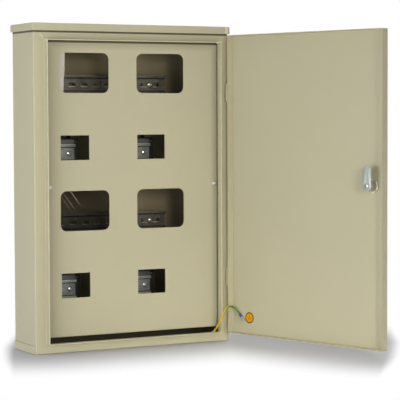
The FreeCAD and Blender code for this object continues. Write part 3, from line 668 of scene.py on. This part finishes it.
def closed(work):
    """Joins the ends of turned outlines and points the faces outwards."""
    bmesh.ops.remove_doubles(work, verts=work.verts, dist=1e-7)
    bmesh.ops.recalc_face_normals(work, faces=work.faces)


def washer_outline(radius, thick, bore, chamfer):
    """Profile of a washer with both outer edges chamfered, for turned()."""
    return [(bore, 0.0), (radius - chamfer, 0.0), (radius, chamfer), (radius, thick - chamfer),
            (radius - chamfer, thick), (bore, thick), (bore, 0.0)]


def nut_outline(flats, thick, bore):
    """Profile of a hexagon nut with both faces chamfered, for turned()."""
    face = flats / 2 * 0.97
    lead_in = bore * 0.12

    def corner(angle):
        part = (angle + math.pi / 6) % (math.pi / 3) - math.pi / 6
        return flats / 2 / math.cos(part)

    def drop(angle):
        return (corner(angle) - face) * 0.5

    return [(bore, 0.0), (face, 0.0), (corner, drop), (corner, lambda a: thick - drop(a)), (face, thick),
            (bore + lead_in, thick), (bore, thick - lead_in), (bore, 0.0)]


def make_nut(flats, thick, bore):
    """A hexagon nut that stands on Z 0."""
    def fill(work):
        turned(work, nut_outline(flats, thick, bore), 72)
        closed(work)
    return fill


def make_screw(head_r, head_h, shank_r, shank_l):
    """A pan-head screw standing on its seat at Z 0, with a cross recess that narrows towards its floor."""
    def outline():
        """Profile of the shank and the domed head."""
        yield shank_r * 0.4, -shank_l
        yield shank_r, -shank_l + shank_r * 0.6
        yield shank_r, 0.0
        yield head_r, 0.0
        yield head_r, head_h * 0.35
        for angle in (18, 36, 52, 66):
            t = math.radians(angle)
            yield head_r * math.cos(t), head_h * (0.35 + 0.65 * math.sin(t))

    def cross():
        """Outline of the recess, three corners to each arm."""
        arm, half = head_r * 0.62, head_r * 0.13
        for k in range(4):
            angle = math.pi / 2 * k
            out = Vector((math.cos(angle), math.sin(angle), 0))
            side = Vector((-out.y, out.x, 0))
            yield out * arm - side * half
            yield out * arm + side * half
            yield out * half + side * half

    def fill(work):
        rings = turned(work, outline(), 48)
        work.faces.new(rings[0][::-1])
        upper = [work.verts.new(v + Vector((0, 0, head_h))) for v in cross()]
        lower = [work.verts.new(v * 0.5 + Vector((0, 0, head_h * 0.45))) for v in cross()]
        for (a, b), (c, d) in zip(pairs(upper), pairs(lower)):
            work.faces.new((a, c, d, b))
        work.faces.new(lower)
        edges = [work.edges.get(pair) for loop in (rings[-1], upper) for pair in pairs(loop)]
        bmesh.ops.triangle_fill(work, edges=edges, use_beauty=True, normal=UP)
        bmesh.ops.recalc_face_normals(work, faces=work.faces)
    return fill


def bevelled_copy(node, name, width, material):
    """A copy of a flat-sided CAD piece with its edges rounded over."""
    def fill(work):
        work.from_mesh(NODES[node].data)
        bmesh.ops.remove_doubles(work, verts=work.verts, dist=1e-6)
        bmesh.ops.dissolve_limit(work, angle_limit=math.radians(1.0), verts=work.verts, edges=work.edges)

    piece = piece_from(fill, name, material)
    bevel = piece.modifiers.new("edge", "BEVEL")
    bevel.width = width
    bevel.segments = 2
    bevel.limit_method = "ANGLE"
    bevel.angle_limit = math.radians(40)
    settled(piece)
    smooth(piece, 30)
    return piece


# Geometry Nodes trees.


def rule(name, inputs):
    """A geometry tree with a geometry, named inputs and a finish going in, and one geometry out."""
    tree = bpy.data.node_groups.new(name, "GeometryNodeTree")
    for label, kind in {"Geometry": "Geometry", **inputs, "Finish": "Material"}.items():
        tree.interface.new_socket(label, in_out="INPUT", socket_type="NodeSocket" + kind)
    tree.interface.new_socket("Geometry", in_out="OUTPUT", socket_type="NodeSocketGeometry")
    board = Board(tree)
    return board, board.add("NodeGroupInput").outputs


def finish_rule(board, geometry, material):
    """Closes a tree: real geometry, smooth, with its material."""
    real = board.add("GeometryNodeRealizeInstances", {0: geometry})
    shade = board.add("GeometryNodeSetShadeSmooth", {"Geometry": real})
    dressed = board.add("GeometryNodeSetMaterial", {"Geometry": shade, "Material": material})
    board.add("NodeGroupOutput", {0: dressed})
    return board.tree


def fastener_rule():
    """Sets one fastener at every point, facing the way the point says, each turned by its own amount."""
    board, given = rule("fasteners_at_points", {"Fastener": "Object", "Spin Seed": "Int", "Spin": "Float"})
    piece = board.add("GeometryNodeObjectInfo", {"Object": given["Fastener"]}, transform_space="ORIGINAL")
    facing = board.add("GeometryNodeInputNamedAttribute", {"Name": "facing"}, data_type="FLOAT_VECTOR")
    turn = board.add("FunctionNodeAlignRotationToVector", {"Vector": facing}, axis="Z")
    spots = board.add("GeometryNodeInstanceOnPoints",
                      {"Points": given["Geometry"], "Instance": piece.outputs["Geometry"], "Rotation": turn})
    chance = board.add("FunctionNodeRandomValue", {2: 0.0, 3: given["Spin"], "Seed": given["Spin Seed"]},
                       data_type="FLOAT")
    spin = board.add("ShaderNodeCombineXYZ", {2: chance.outputs[1]})
    spun = board.add("GeometryNodeRotateInstances", {"Instances": spots, "Rotation": spin})
    return finish_rule(board, spun, given["Finish"])


def bead_rule():
    """Lays flattened weld ripples along a seam, each a little different."""
    board, given = rule("weld_along_seam", {"Step": "Float", "Bead": "Float", "Seed": "Int"})
    seam = board.add("GeometryNodeMeshToCurve", {0: given["Geometry"]})
    marks = board.add("GeometryNodeResampleCurve", {"Curve": seam, "Length": given["Step"]}, mode="LENGTH")
    ball = board.add("GeometryNodeMeshIcoSphere", {"Radius": given["Bead"], "Subdivisions": 2})
    smallest, largest = (0.4, 0.2, 0.4), (1.25, 0.55, 1.25)
    size = board.add("FunctionNodeRandomValue", {0: smallest, 1: largest, "Seed": given["Seed"]},
                     data_type="FLOAT_VECTOR")
    row = board.add("GeometryNodeInstanceOnPoints", {"Points": marks, "Instance": ball, "Scale": size})
    return finish_rule(board, row, given["Finish"])


def thread_rule():
    """A thread ridge wound up the outside of a stud."""
    board, given = rule("stud_thread", {"Radius": "Float", "Length": "Float", "Pitch": "Float"})
    radius, pitch = given["Radius"], Term(board, given["Pitch"])
    turns = Term(board, given["Length"]) / pitch
    coil = board.add("GeometryNodeCurveSpiral",
                     {"Resolution": 28, "Rotations": turns, "Start Radius": radius, "End Radius": radius,
                      "Height": given["Length"]})
    section = board.add("GeometryNodeCurvePrimitiveCircle", {"Resolution": 5, "Radius": pitch * 0.34},
                        mode="RADIUS")
    wound = board.add("GeometryNodeCurveToMesh", {0: coil, 1: section, "Fill Caps": True})
    return finish_rule(board, wound, given["Finish"])


def ruled(name, points, edges, tree, values):
    """An object of points and edges with a geometry tree worked into its mesh."""
    mesh = bpy.data.meshes.new(name)
    mesh.from_pydata([tuple(p) for p, _ in points], edges, [])
    facing = mesh.attributes.new("facing", "FLOAT_VECTOR", "POINT")
    for entry, (_, way) in zip(facing.data, points):
        entry.vector = way
    piece = placed(name, mesh)
    change = piece.modifiers.new("rule", "NODES")
    change.node_group = tree
    for socket in tree.interface.items_tree:
        if socket.in_out == "INPUT" and socket.name in values:
            change[socket.identifier] = values[socket.name]
    settled(piece)
    left_over = piece.data.attributes.get("facing")
    if left_over is not None:
        piece.data.attributes.remove(left_over)
    return piece


def fastened(name, pattern, points, material, seed, spin, angle=35):
    """One fastener mesh set at every point, as one plain piece."""
    model = piece_from(pattern, name + "_pattern", None)
    tree = bpy.data.node_groups.get("fasteners_at_points") or fastener_rule()
    piece = ruled(name, points, [], tree,
                  {"Fastener": model, "Spin Seed": seed, "Spin": spin, "Finish": material})
    bpy.data.objects.remove(model)
    smooth(piece, angle)
    return piece


def wear(node_names, material):
    """Gives CAD pieces their finish."""
    for name in node_names:
        NODES[name].data.materials.clear()
        NODES[name].data.materials.append(material)
        smooth(NODES[name], 30)


def take_over(piece, body, slot, *nodes):
    """The piece rides on a body and stands for CAD pieces."""
    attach(piece, body)
    if nodes:
        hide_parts(*nodes)


def lamp(name, power, size, place, target, colour, spread=180):
    """A square lamp that the camera doesn't see."""
    light = bpy.data.lights.new(name, "AREA")
    light.energy = power
    light.size = size
    light.color = colour
    light.spread = math.radians(spread)
    holder = placed(name, light)
    holder.location = place
    holder.visible_camera = False
    holder.rotation_euler = (Vector(target) - Vector(place)).to_track_quat("-Z", "Y").to_euler()
    return holder


# Operators, one for each piece or group of like pieces.


class METERBOX_OT_stage(bpy.types.Operator):
    """Camera at the photograph's angle, pale floor, white surround and soft lamps"""
    bl_idname = "meterbox.stage"
    bl_label = "Stage"

    # Size, place, target and colour of each lamp, and the spread in degrees of the narrow one.
    lamps = {"key": (0.75, (-0.35, -3.0, 0.4), (0.05, -0.1, -0.15), (1.0, 0.985, 0.95)),
             "side": (0.9, (-1.6, -0.82, -0.22), (0.12, -0.25, -0.12), (0.93, 0.97, 1.0)),
             "fill": (0.8, (1.15, -2.35, -0.25), (0.0, -0.1, -0.2), (1.0, 0.99, 0.96)),
             "beam": (0.4, (-0.25, -2.8, 0.5), (0.27, -0.3, -0.42), (1.0, 0.99, 0.96), 20),
             "top": (2.4, (0.1, 0.1, 2.2), (0.1, -0.1, -0.3), (1.0, 1.0, 1.0)),
             "back": (1.4, (1.5, 1.9, 0.6), (0.05, 0.0, 0.0), (1.0, 1.0, 1.0))}

    def execute(self, context):
        scene = context.scene
        given = scene.meterbox_stage
        scene.view_settings.view_transform = "Standard"
        scene.camera = self.eye(given)
        self.surround(scene, given)
        self.floor()
        for name, facts in self.lamps.items():
            holder = lamp(name + "_lamp", getattr(given, name), *facts)
            holder.visible_glossy = name != "fill"
        return {"FINISHED"}

    def eye(self, given):
        """The camera, set by its place, heading, tilt and roll."""
        camera = bpy.data.cameras.new("camera")
        camera.sensor_fit = "HORIZONTAL"
        camera.sensor_width = 36.0
        camera.lens = given.lens
        camera.clip_end = 60.0
        eye = placed("camera", camera)
        ahead = Vector((math.sin(given.heading) * math.cos(given.tilt),
                        math.cos(given.heading) * math.cos(given.tilt), math.sin(given.tilt)))
        right = ahead.cross(Vector(UP)).normalized()
        up = right.cross(ahead)
        level = Matrix((right, up, -ahead)).transposed() @ Matrix.Rotation(given.roll, 3, "Z")
        eye.matrix_world = Matrix.Translation(Vector(given.place)) @ level.to_4x4()
        return eye

    def seen(self, board):
        """1 for what the camera sees, also through a pane or mirrored, and 1 for what it sees straight."""
        path = board.add("ShaderNodeLightPath").outputs
        seen = board.most(path["Is Camera Ray"], path["Is Transmission Ray"], path["Is Glossy Ray"])
        return seen, Term(board, path["Is Camera Ray"])

    def surround(self, scene, given):
        """A world that lights the part evenly and looks white."""
        scene.world = scene.world or bpy.data.worlds.new("surround")
        scene.world.use_nodes = True
        board = Board(scene.world.node_tree)
        board.tree.nodes.clear()
        seen, _ = self.seen(board)
        sky = board.add("ShaderNodeBackground",
                        {"Color": (0.96, 0.985, 1.0, 1), "Strength": given.sky})
        white = board.add("ShaderNodeBackground", {"Color": (1, 1, 1, 1), "Strength": 1.0})
        board.overlay(board.add("ShaderNodeOutputWorld"), seen, sky, white)

    def clear_of(self, paper):
        """Distance on the floor from the box or the open door, with more added past two slanted lines; it
        sets how far the floor's painted shade reaches.
        """
        half_depth = -FRAME_FACE / 2
        door_run, door_side, side_rate, outer_rate = 0.36, 0.2, 1.3, 9.0
        across = paper.most(abs(paper.along(RIGHT)) - HALF_WIDTH, 0.0)
        deep = paper.most(abs(paper.along(BACK, (0, -half_depth, 0))) - half_depth, 0.0)
        run, aside = paper.door_place()
        past = run - paper.least(paper.most(run, 0.0), door_run)
        beside = paper.most(aside, -door_side - aside, 0.0) * side_rate
        clear = paper.least(paper.span(across, deep), paper.span(past, beside))
        free_edge = HINGE + DOOR_RUN * DOOR_REACH
        past_left = ((-HALF_WIDTH, 0, 0), (-0.924, 0.383, 0))
        past_door = (free_edge, DOOR_RUN + Vector(RIGHT))
        for corner, outwards in (past_left, past_door):
            clear = clear + paper.most(paper.along(outwards, corner), 0.0) * outer_rate
        return clear

    def floor(self):
        """Paper under the part that keeps its real shadow near it, seen darker there as painted shade, and
        is white further off.
        """
        def fill(work):
            bmesh.ops.create_grid(work, x_segments=8, y_segments=8, size=9.0)
            bmesh.ops.translate(work, verts=work.verts, vec=(0, 0, CAD_BOX[0][2] - 0.0006))

        paper = Finish("paper_floor")
        glow = paper.add("ShaderNodeEmission", {"Color": (1, 1, 1, 1), "Strength": 1.0})
        seen, camera_ray = self.seen(paper)
        # Near the part the camera sees a darker paper than other rays do: painted shade over the real
        # shadow.
        shade = paper.tint(camera_ray, (0.93, 0.93, 0.93), (0.64, 0.64, 0.68))
        matt = paper.add("ShaderNodeBsdfDiffuse", {"Color": shade})
        far = paper.step(self.clear_of(paper), 0.0, 0.28)
        paper.overlay(paper.out, paper.most(seen - camera_ray, camera_ray * far), matt, glow)
        piece_from(fill, "floor", paper.material)


class METERBOX_OT_paint(bpy.types.Operator):
    """Powder coat on the shell, the door, the panel and the hinges"""
    bl_idname = "meterbox.paint"
    bl_label = "Painted sheet"

    def execute(self, context):
        coat = powder_coat(context.scene.meterbox_paint)
        names = ["body_wrap", "top_end_plate", "bottom_tray", "rain_cap", "inner_panel", "door",
                 "panel_bracket_left", "panel_bracket_right"]
        names += every("hinge_case_leaf_", ENDS) + every("hinge_door_leaf_", ENDS)
        wear(names, coat)
        return {"FINISHED"}


class METERBOX_OT_welds(bpy.types.Operator):
    """Painted weld ripples on the two upper mitred corners of the front frame"""
    bl_idname = "meterbox.welds"
    bl_label = "Corner welds"

    def execute(self, context):
        given = context.scene.meterbox_fasteners
        coat = context.scene.meterbox_paint
        # The weld ripples take the coat colour made paler, a painted highlight.
        skin = bright_steel("weld_coat", lighter(coat.colour, 1.45), rough=0.45, metallic=0.0)
        slope = (HALF_HEIGHT - LIP_Z) / (HALF_WIDTH - LIP_X)
        face_run, lip_run, set_back = 0.00798, 0.0135, 0.0014
        seams = []
        for side in (-1, 1):
            corner = Vector((side * LIP_X, FRAME_FACE, LIP_Z))
            lip = corner + Vector((side * set_back, 0, set_back))
            seams.append((corner, corner + Vector((side, 0, slope)) * face_run))
            seams.append((lip, lip + Vector(FRONT) * lip_run))
        points = [(p, FRONT) for seam in seams for p in seam]
        edges = [(2 * k, 2 * k + 1) for k in range(len(seams))]
        piece = ruled("corner_welds", points, edges, bead_rule(),
                      {"Step": given.bead_step, "Bead": given.bead, "Seed": 11, "Finish": skin})
        take_over(piece, "cabinet", "cabinet_paint")
        return {"FINISHED"}


class METERBOX_OT_rails(bpy.types.Operator):
    """Zinc on the mounting rails and their stand-offs"""
    bl_idname = "meterbox.rails"
    bl_label = "Rails and stand-offs"

    def execute(self, context):
        given = context.scene.meterbox_metal
        breaker, meter = every("breaker_rail_", SIDES), every("meter_rail_", ENDS)
        lower_row = every("breaker_rail_", SIDES[:2])
        # The darker zinc on the meter rails and on all the stand-offs is painted shade.
        for nodes, name, share, extras in (
                (breaker, "breaker_rail_zinc", 1.05, {"rails": breaker, "rub": 0.9}),
                (meter, "meter_rail_zinc", 0.6, {"rails": meter, "rub": 0.1, "slots": meter}),
                (every("meter_bracket_", SIDES), "stand_off_zinc", 0.55, {}),
                (every("breaker_bracket_", SIDES), "breaker_stand_off_zinc", 0.55, {"past": lower_row})):
            zinc = zinc_plate(name, lighter(given.zinc, share), given.spangle, **extras)
            wear(nodes, zinc)
        return {"FINISHED"}


class METERBOX_OT_panes(bpy.types.Operator):
    """Clear panes behind the meter windows, each with its own faint film, two with painted reflections and
    one darkened as painted shade
    """
    bl_idname = "meterbox.panes"
    bl_label = "Window panes"

    def execute(self, context):
        # The lower left pane's darker tint of 0.74 is painted shade.
        for tail, streak, depth in (("upper_left", self.edge_reflection, 1.0), ("upper_right", self.plain, 1.0),
                                    ("lower_left", self.slanted, 0.74), ("lower_right", self.plain, 1.0)):
            wear(["window_pane_" + tail], clear_pane("clear_pane_" + tail, streak, depth))
        return {"FINISHED"}

    def plain(self, pane):
        """Faint clouds of film."""
        return pane.step(pane.noise(size=0.03), 0.55, 0.75) * 0.006

    def edge_reflection(self, pane):
        """A pale strip painted along the outer edge, a painted reflection."""
        lean = pane.along((1, 0, -0.06), (WINDOW_LEFT, 0, middle("window_pane_upper_left").z))
        ripple = pane.noise(size=0.02)
        return pane.step(lean + ripple * 0.004, 0.0125, 0.0105) * (0.3 + 0.22 * ripple)

    def slanted(self, pane):
        """Fine pale lines painted running down across the pane, a painted reflection."""
        corner = (WINDOW_LEFT, 0, 0)
        down = pane.along((0.72, 0, 0.69), corner)
        over = pane.along((0.69, 0, -0.72), corner)
        marks = 0
        for shift, wide in ((0.0, 0.0004), (-0.0072, 0.0003), (0.0135, 0.0008)):
            marks = marks + pane.near(down + over * 0.12, shift, wide * 2, wide * 0.5)
        return marks * pane.band(over, (-0.002, 0.006), (0.058, 0.03)) * 0.13


class METERBOX_OT_screws(bpy.types.Operator):
    """Cross-head screws on the rails, on the panel and on the lock cam"""
    bl_idname = "meterbox.screws"
    bl_label = "Screws"

    def execute(self, context):
        given = context.scene.meterbox_fasteners
        colour = context.scene.meterbox_metal.steel
        columns = [end + side for side in ("_left", "_right") for end in ENDS]
        rails = [(self.breaker_seat(tail), FRONT) for tail in columns]
        rails += [(self.meter_seat(tail), FRONT) for tail in columns]
        steel = bright_steel("screw_steel", colour, rough=0.16, metallic=0.92)
        screw = make_screw(head_r=0.005, head_h=0.003, shank_r=0.0025, shank_l=0.009)
        piece = fastened("rail_screw_set", screw, rails, steel, given.spin_seed, spin=3.1)
        take_over(piece, "cabinet", "bright_steel", "rail_screws")
        panel = [(Vector((x, PANEL_FRONT, PANEL_SCREW_Z)), FRONT) for x in PANEL_SCREW_X]
        # A darker copy of the screw steel for the panel screws.
        darker_screw_steel = bright_steel("panel_screw_steel", lighter(colour, 0.75), rough=0.24, metallic=0.92)
        screw = make_screw(head_r=0.004, head_h=0.0028, shank_r=0.002, shank_l=0.009)
        piece = fastened("panel_screw_set", screw, panel, darker_screw_steel, given.spin_seed + 1, spin=3.1)
        take_over(piece, "cabinet", "bright_steel", "panel_screws")
        cam = [(on_door(LOCK_X, CAM_FACE_Y, LOCK_Z), DOOR_IN)]
        dark = bright_steel("cam_screw_steel", (0.42, 0.43, 0.42), rough=0.2)
        screw = make_screw(head_r=0.0055, head_h=0.0024, shank_r=0.002, shank_l=0.009)
        piece = fastened("cam_screw_head", screw, cam, dark, seed=2, spin=0.6)
        take_over(piece, "lock_core", "bright_steel", "cam_screw")
        return {"FINISHED"}

    def breaker_seat(self, tail):
        """The seat of a breaker rail's screw, on the front of its web near the right end."""
        low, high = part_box("breaker_rail_" + tail)
        return Vector((high.x - 0.011, high.y - RAIL_SHEET, (low.z + high.z) / 2 + 0.0005))

    def meter_seat(self, tail):
        """The seat of a meter rail's screw, on the front of its web over the middle of a stand-off."""
        seat = middle("meter_bracket_" + tail)
        seat.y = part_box("meter_bracket_" + tail)[0].y - RAIL_SHEET
        return seat


class METERBOX_OT_earthing(bpy.types.Operator):
    """Earth studs with their threads, washers and nuts, ring terminals and blue sleeves"""
    bl_idname = "meterbox.earthing"
    bl_label = "Earth studs"

    def execute(self, context):
        given = context.scene.meterbox_fasteners
        steel = bright_steel("stud_steel", lighter(context.scene.meterbox_metal.steel, 0.8), rough=0.24)
        wear(["case_earth_stud", "door_earth_stud"], steel)
        coil = thread_rule()
        bare = {"Radius": 0.00186, "Length": 0.0024, "Pitch": given.thread_pitch, "Finish": steel}
        bare_from = 0.0051
        places = {"case": ("cabinet", CASE_STUD, Vector(UP)),
                  "door": ("door", on_door(DOOR_STUD_X, DOOR_INSIDE_Y, DOOR_STUD_Z), DOOR_IN)}
        for name, (body, base, way) in places.items():
            nut = fastened(name + "_nut_stack", self.stack, [(base, way)], steel, given.spin_seed,
                           spin=0.0, angle=25)
            take_over(nut, body, "bright_steel", name + "_earth_nut")
            thread = ruled(name + "_stud_thread", [(Vector(), UP)], [], coil, bare)
            turn = way.to_track_quat("Z", "Y").to_matrix().to_4x4()
            thread.data.transform(Matrix.Translation(base + way * bare_from) @ turn)
            take_over(thread, body, "bright_steel")
        tin = bright_steel("tinned_lug", (0.7, 0.68, 0.63), rough=0.26)
        wear(["case_ring_terminal", "door_ring_terminal"], tin)
        blue = vinyl("sleeve_blue", (0.018, 0.075, 0.33), size=0.0008)
        wear(["case_terminal_sleeve", "door_terminal_sleeve"], blue)
        return {"FINISHED"}

    def stack(self, work):
        """Washer under the terminal and nut on top of it, as one piece."""
        bore, washer_thick, nut_from = 0.002, 0.0008, 0.0016
        turned(work, washer_outline(0.0037, washer_thick, bore, chamfer=0.0001), 48)
        washer = set(work.verts)
        turned(work, nut_outline(flats=0.007, thick=0.0032, bore=bore), 72)
        nut = [v for v in work.verts if v not in washer]
        bmesh.ops.translate(work, verts=nut, vec=(0, 0, nut_from))
        closed(work)


class METERBOX_OT_lock(bpy.types.Operator):
    """Cam lock: housing, nut, plug and the cast cam"""
    bl_idname = "meterbox.lock"
    bl_label = "Cam lock"

    def execute(self, context):
        centre = on_door(LOCK_X, DOOR_INSIDE_Y, LOCK_Z)
        shell = threaded("lock_shell", (0.62, 0.58, 0.5), DOOR_IN, centre, pitch=0.0012)
        wear(["lock_housing"], shell)
        wear(["lock_plug"], bright_steel("lock_core", (0.62, 0.52, 0.34), rough=0.24))
        nickel = bright_steel("nut_nickel", (0.8, 0.74, 0.63), rough=0.1, metallic=0.85)
        nut = fastened("lock_hex_nut", make_nut(flats=0.023, thick=0.005, bore=0.0095), [(centre, DOOR_IN)],
                       nickel, seed=1, spin=0.0, angle=25)
        take_over(nut, "door", "bright_steel", "lock_nut")
        cast = bright_steel("cast_cam", context.scene.meterbox_metal.cam, rough=0.3, metallic=0.45)
        cam = bevelled_copy("lock_cam", "lock_cam_plate", width=0.0006, material=cast)
        take_over(cam, "lock_core", "bright_steel", "lock_cam")
        return {"FINISHED"}


class METERBOX_OT_hinge_pins(bpy.types.Operator):
    """Bright pins in the two hinges"""
    bl_idname = "meterbox.hinge_pins"
    bl_label = "Hinge pins"

    def execute(self, context):
        steel = bright_steel("pin_steel", (0.5, 0.49, 0.46), rough=0.3)
        wear(every("hinge_pin_", ENDS), steel)
        return {"FINISHED"}


class METERBOX_OT_label(bpy.types.Operator):
    """Round film with the earth sign beside the door stud"""
    bl_idname = "meterbox.label"
    bl_label = "Earth label"

    def execute(self, context):
        wear(["earth_label"], earth_film(middle("earth_label")))
        return {"FINISHED"}


class METERBOX_OT_wire(bpy.types.Operator):
    """Green and yellow bonding wire from the case to the door"""
    bl_idname = "meterbox.wire"
    bl_label = "Bonding wire"

    # Control points in millimetres, from the stud in the case to the stud on the door.
    route = ((154.61, -69.27, -295.6), (163.45, -82.37, -295.6), (174.0, -95.8, -278.3),
             (174.0, -116.3, -260.0), (180.1, -122.2, -236.6), (198.6, -110.3, -231.1),
             (210.15, -112.92, -238.08), (212.6, -120.85, -247.29))

    def execute(self, context):
        given = context.scene.meterbox_wire
        line = self.centre_line()
        wire = self.tube(line, given.radius, wire_cover(given))
        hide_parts("earth_wire")
        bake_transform(wire)
        return {"FINISHED"}

    def centre_line(self):
        """Points of a smooth spline whose control points are the route."""
        curve = bpy.data.curves.new("wire_route", "CURVE")
        curve.dimensions = "3D"
        curve.resolution_u = 12
        spline = curve.splines.new("NURBS")
        spline.points.add(len(self.route) - 1)
        for point, (x, y, z) in zip(spline.points, self.route):
            point.co = (x / 1000, y / 1000, z / 1000, 1)
        spline.order_u = 3
        spline.use_endpoint_u = True
        holder = placed("wire_route", curve)
        mesh = plain_mesh(holder)
        line = [v.co.copy() for v in mesh.vertices]
        bpy.data.meshes.remove(mesh)
        bpy.data.objects.remove(holder)
        return line

    def tube(self, line, radius, material):
        """A round tube along the line, with a map that runs along it and round it."""
        steps = 20
        angles = [2 * math.pi * j / steps for j in range(steps)]
        lengths = [0.0]
        for a, b in zip(line, line[1:]):
            lengths.append(lengths[-1] + (b - a).length)
        shares = [length / lengths[-1] for length in lengths]
        side = Vector(UP)
        verts, faces, maps = [], [], []
        for k, point in enumerate(line):
            way = (line[min(k + 1, len(line) - 1)] - line[max(k - 1, 0)]).normalized()
            side = (side - way * side.dot(way)).normalized()
            other = way.cross(side)
            verts += [point + (side * math.cos(a) + other * math.sin(a)) * radius for a in angles]
        rings = [list(range(k * steps, (k + 1) * steps)) for k in range(len(line))]
        for k, (low, high) in enumerate(zip(rings, rings[1:])):
            for j, ((a, b), (c, d)) in enumerate(zip(pairs(low), pairs(high))):
                faces.append((a, b, d, c))
                maps += [(shares[k], j / steps), (shares[k], (j + 1) / steps),
                         (shares[k + 1], (j + 1) / steps), (shares[k + 1], j / steps)]
        for share, ring in ((shares[0], rings[0][::-1]), (shares[-1], rings[-1])):
            faces.append(ring)
            maps += [(share, j / steps) for j in range(steps)]
        mesh = bpy.data.meshes.new("bonding_wire")
        mesh.from_pydata([tuple(v) for v in verts], [], faces)
        layer = mesh.uv_layers.new(name="lay")
        for entry, spot in zip(layer.data, maps):
            entry.uv = spot
        mesh.materials.append(material)
        mesh.shade_smooth()
        return placed("bonding_wire", mesh)


STEPS = (METERBOX_OT_stage, METERBOX_OT_wire, METERBOX_OT_paint, METERBOX_OT_welds, METERBOX_OT_rails,
         METERBOX_OT_panes, METERBOX_OT_screws, METERBOX_OT_earthing, METERBOX_OT_lock,
         METERBOX_OT_hinge_pins, METERBOX_OT_label)
SETTINGS = {"meterbox_paint": PaintSettings, "meterbox_metal": MetalSettings,
            "meterbox_fasteners": FastenerSettings, "meterbox_wire": WireSettings,
            "meterbox_stage": StageSettings}


class METERBOX_PT_sidebar(bpy.types.Panel):
    """Lists the pieces and their settings"""
    bl_idname = "METERBOX_PT_sidebar"
    bl_label = "Meter box"
    bl_space_type = "VIEW_3D"
    bl_region_type = "UI"
    bl_category = "Meter box"

    def draw(self, context):
        for name, settings in SETTINGS.items():
            group = getattr(context.scene, name)
            frame_box = self.layout.box()
            for key in settings.__annotations__:
                frame_box.prop(group, key)
        for step in STEPS:
            self.layout.operator(step.bl_idname)


CLASSES = (*SETTINGS.values(), *STEPS, METERBOX_PT_sidebar)


def register():
    for each in CLASSES:
        bpy.utils.register_class(each)
    for name, settings in SETTINGS.items():
        setattr(bpy.types.Scene, name, PointerProperty(type=settings))


def unregister():
    for name in SETTINGS:
        delattr(bpy.types.Scene, name)
    for each in reversed(CLASSES):
        bpy.utils.unregister_class(each)


def main():
    register()
    for step in STEPS:
        group, name = step.bl_idname.split(".")
        getattr(getattr(bpy.ops, group), name)()


if __name__ == "__main__":
    main()
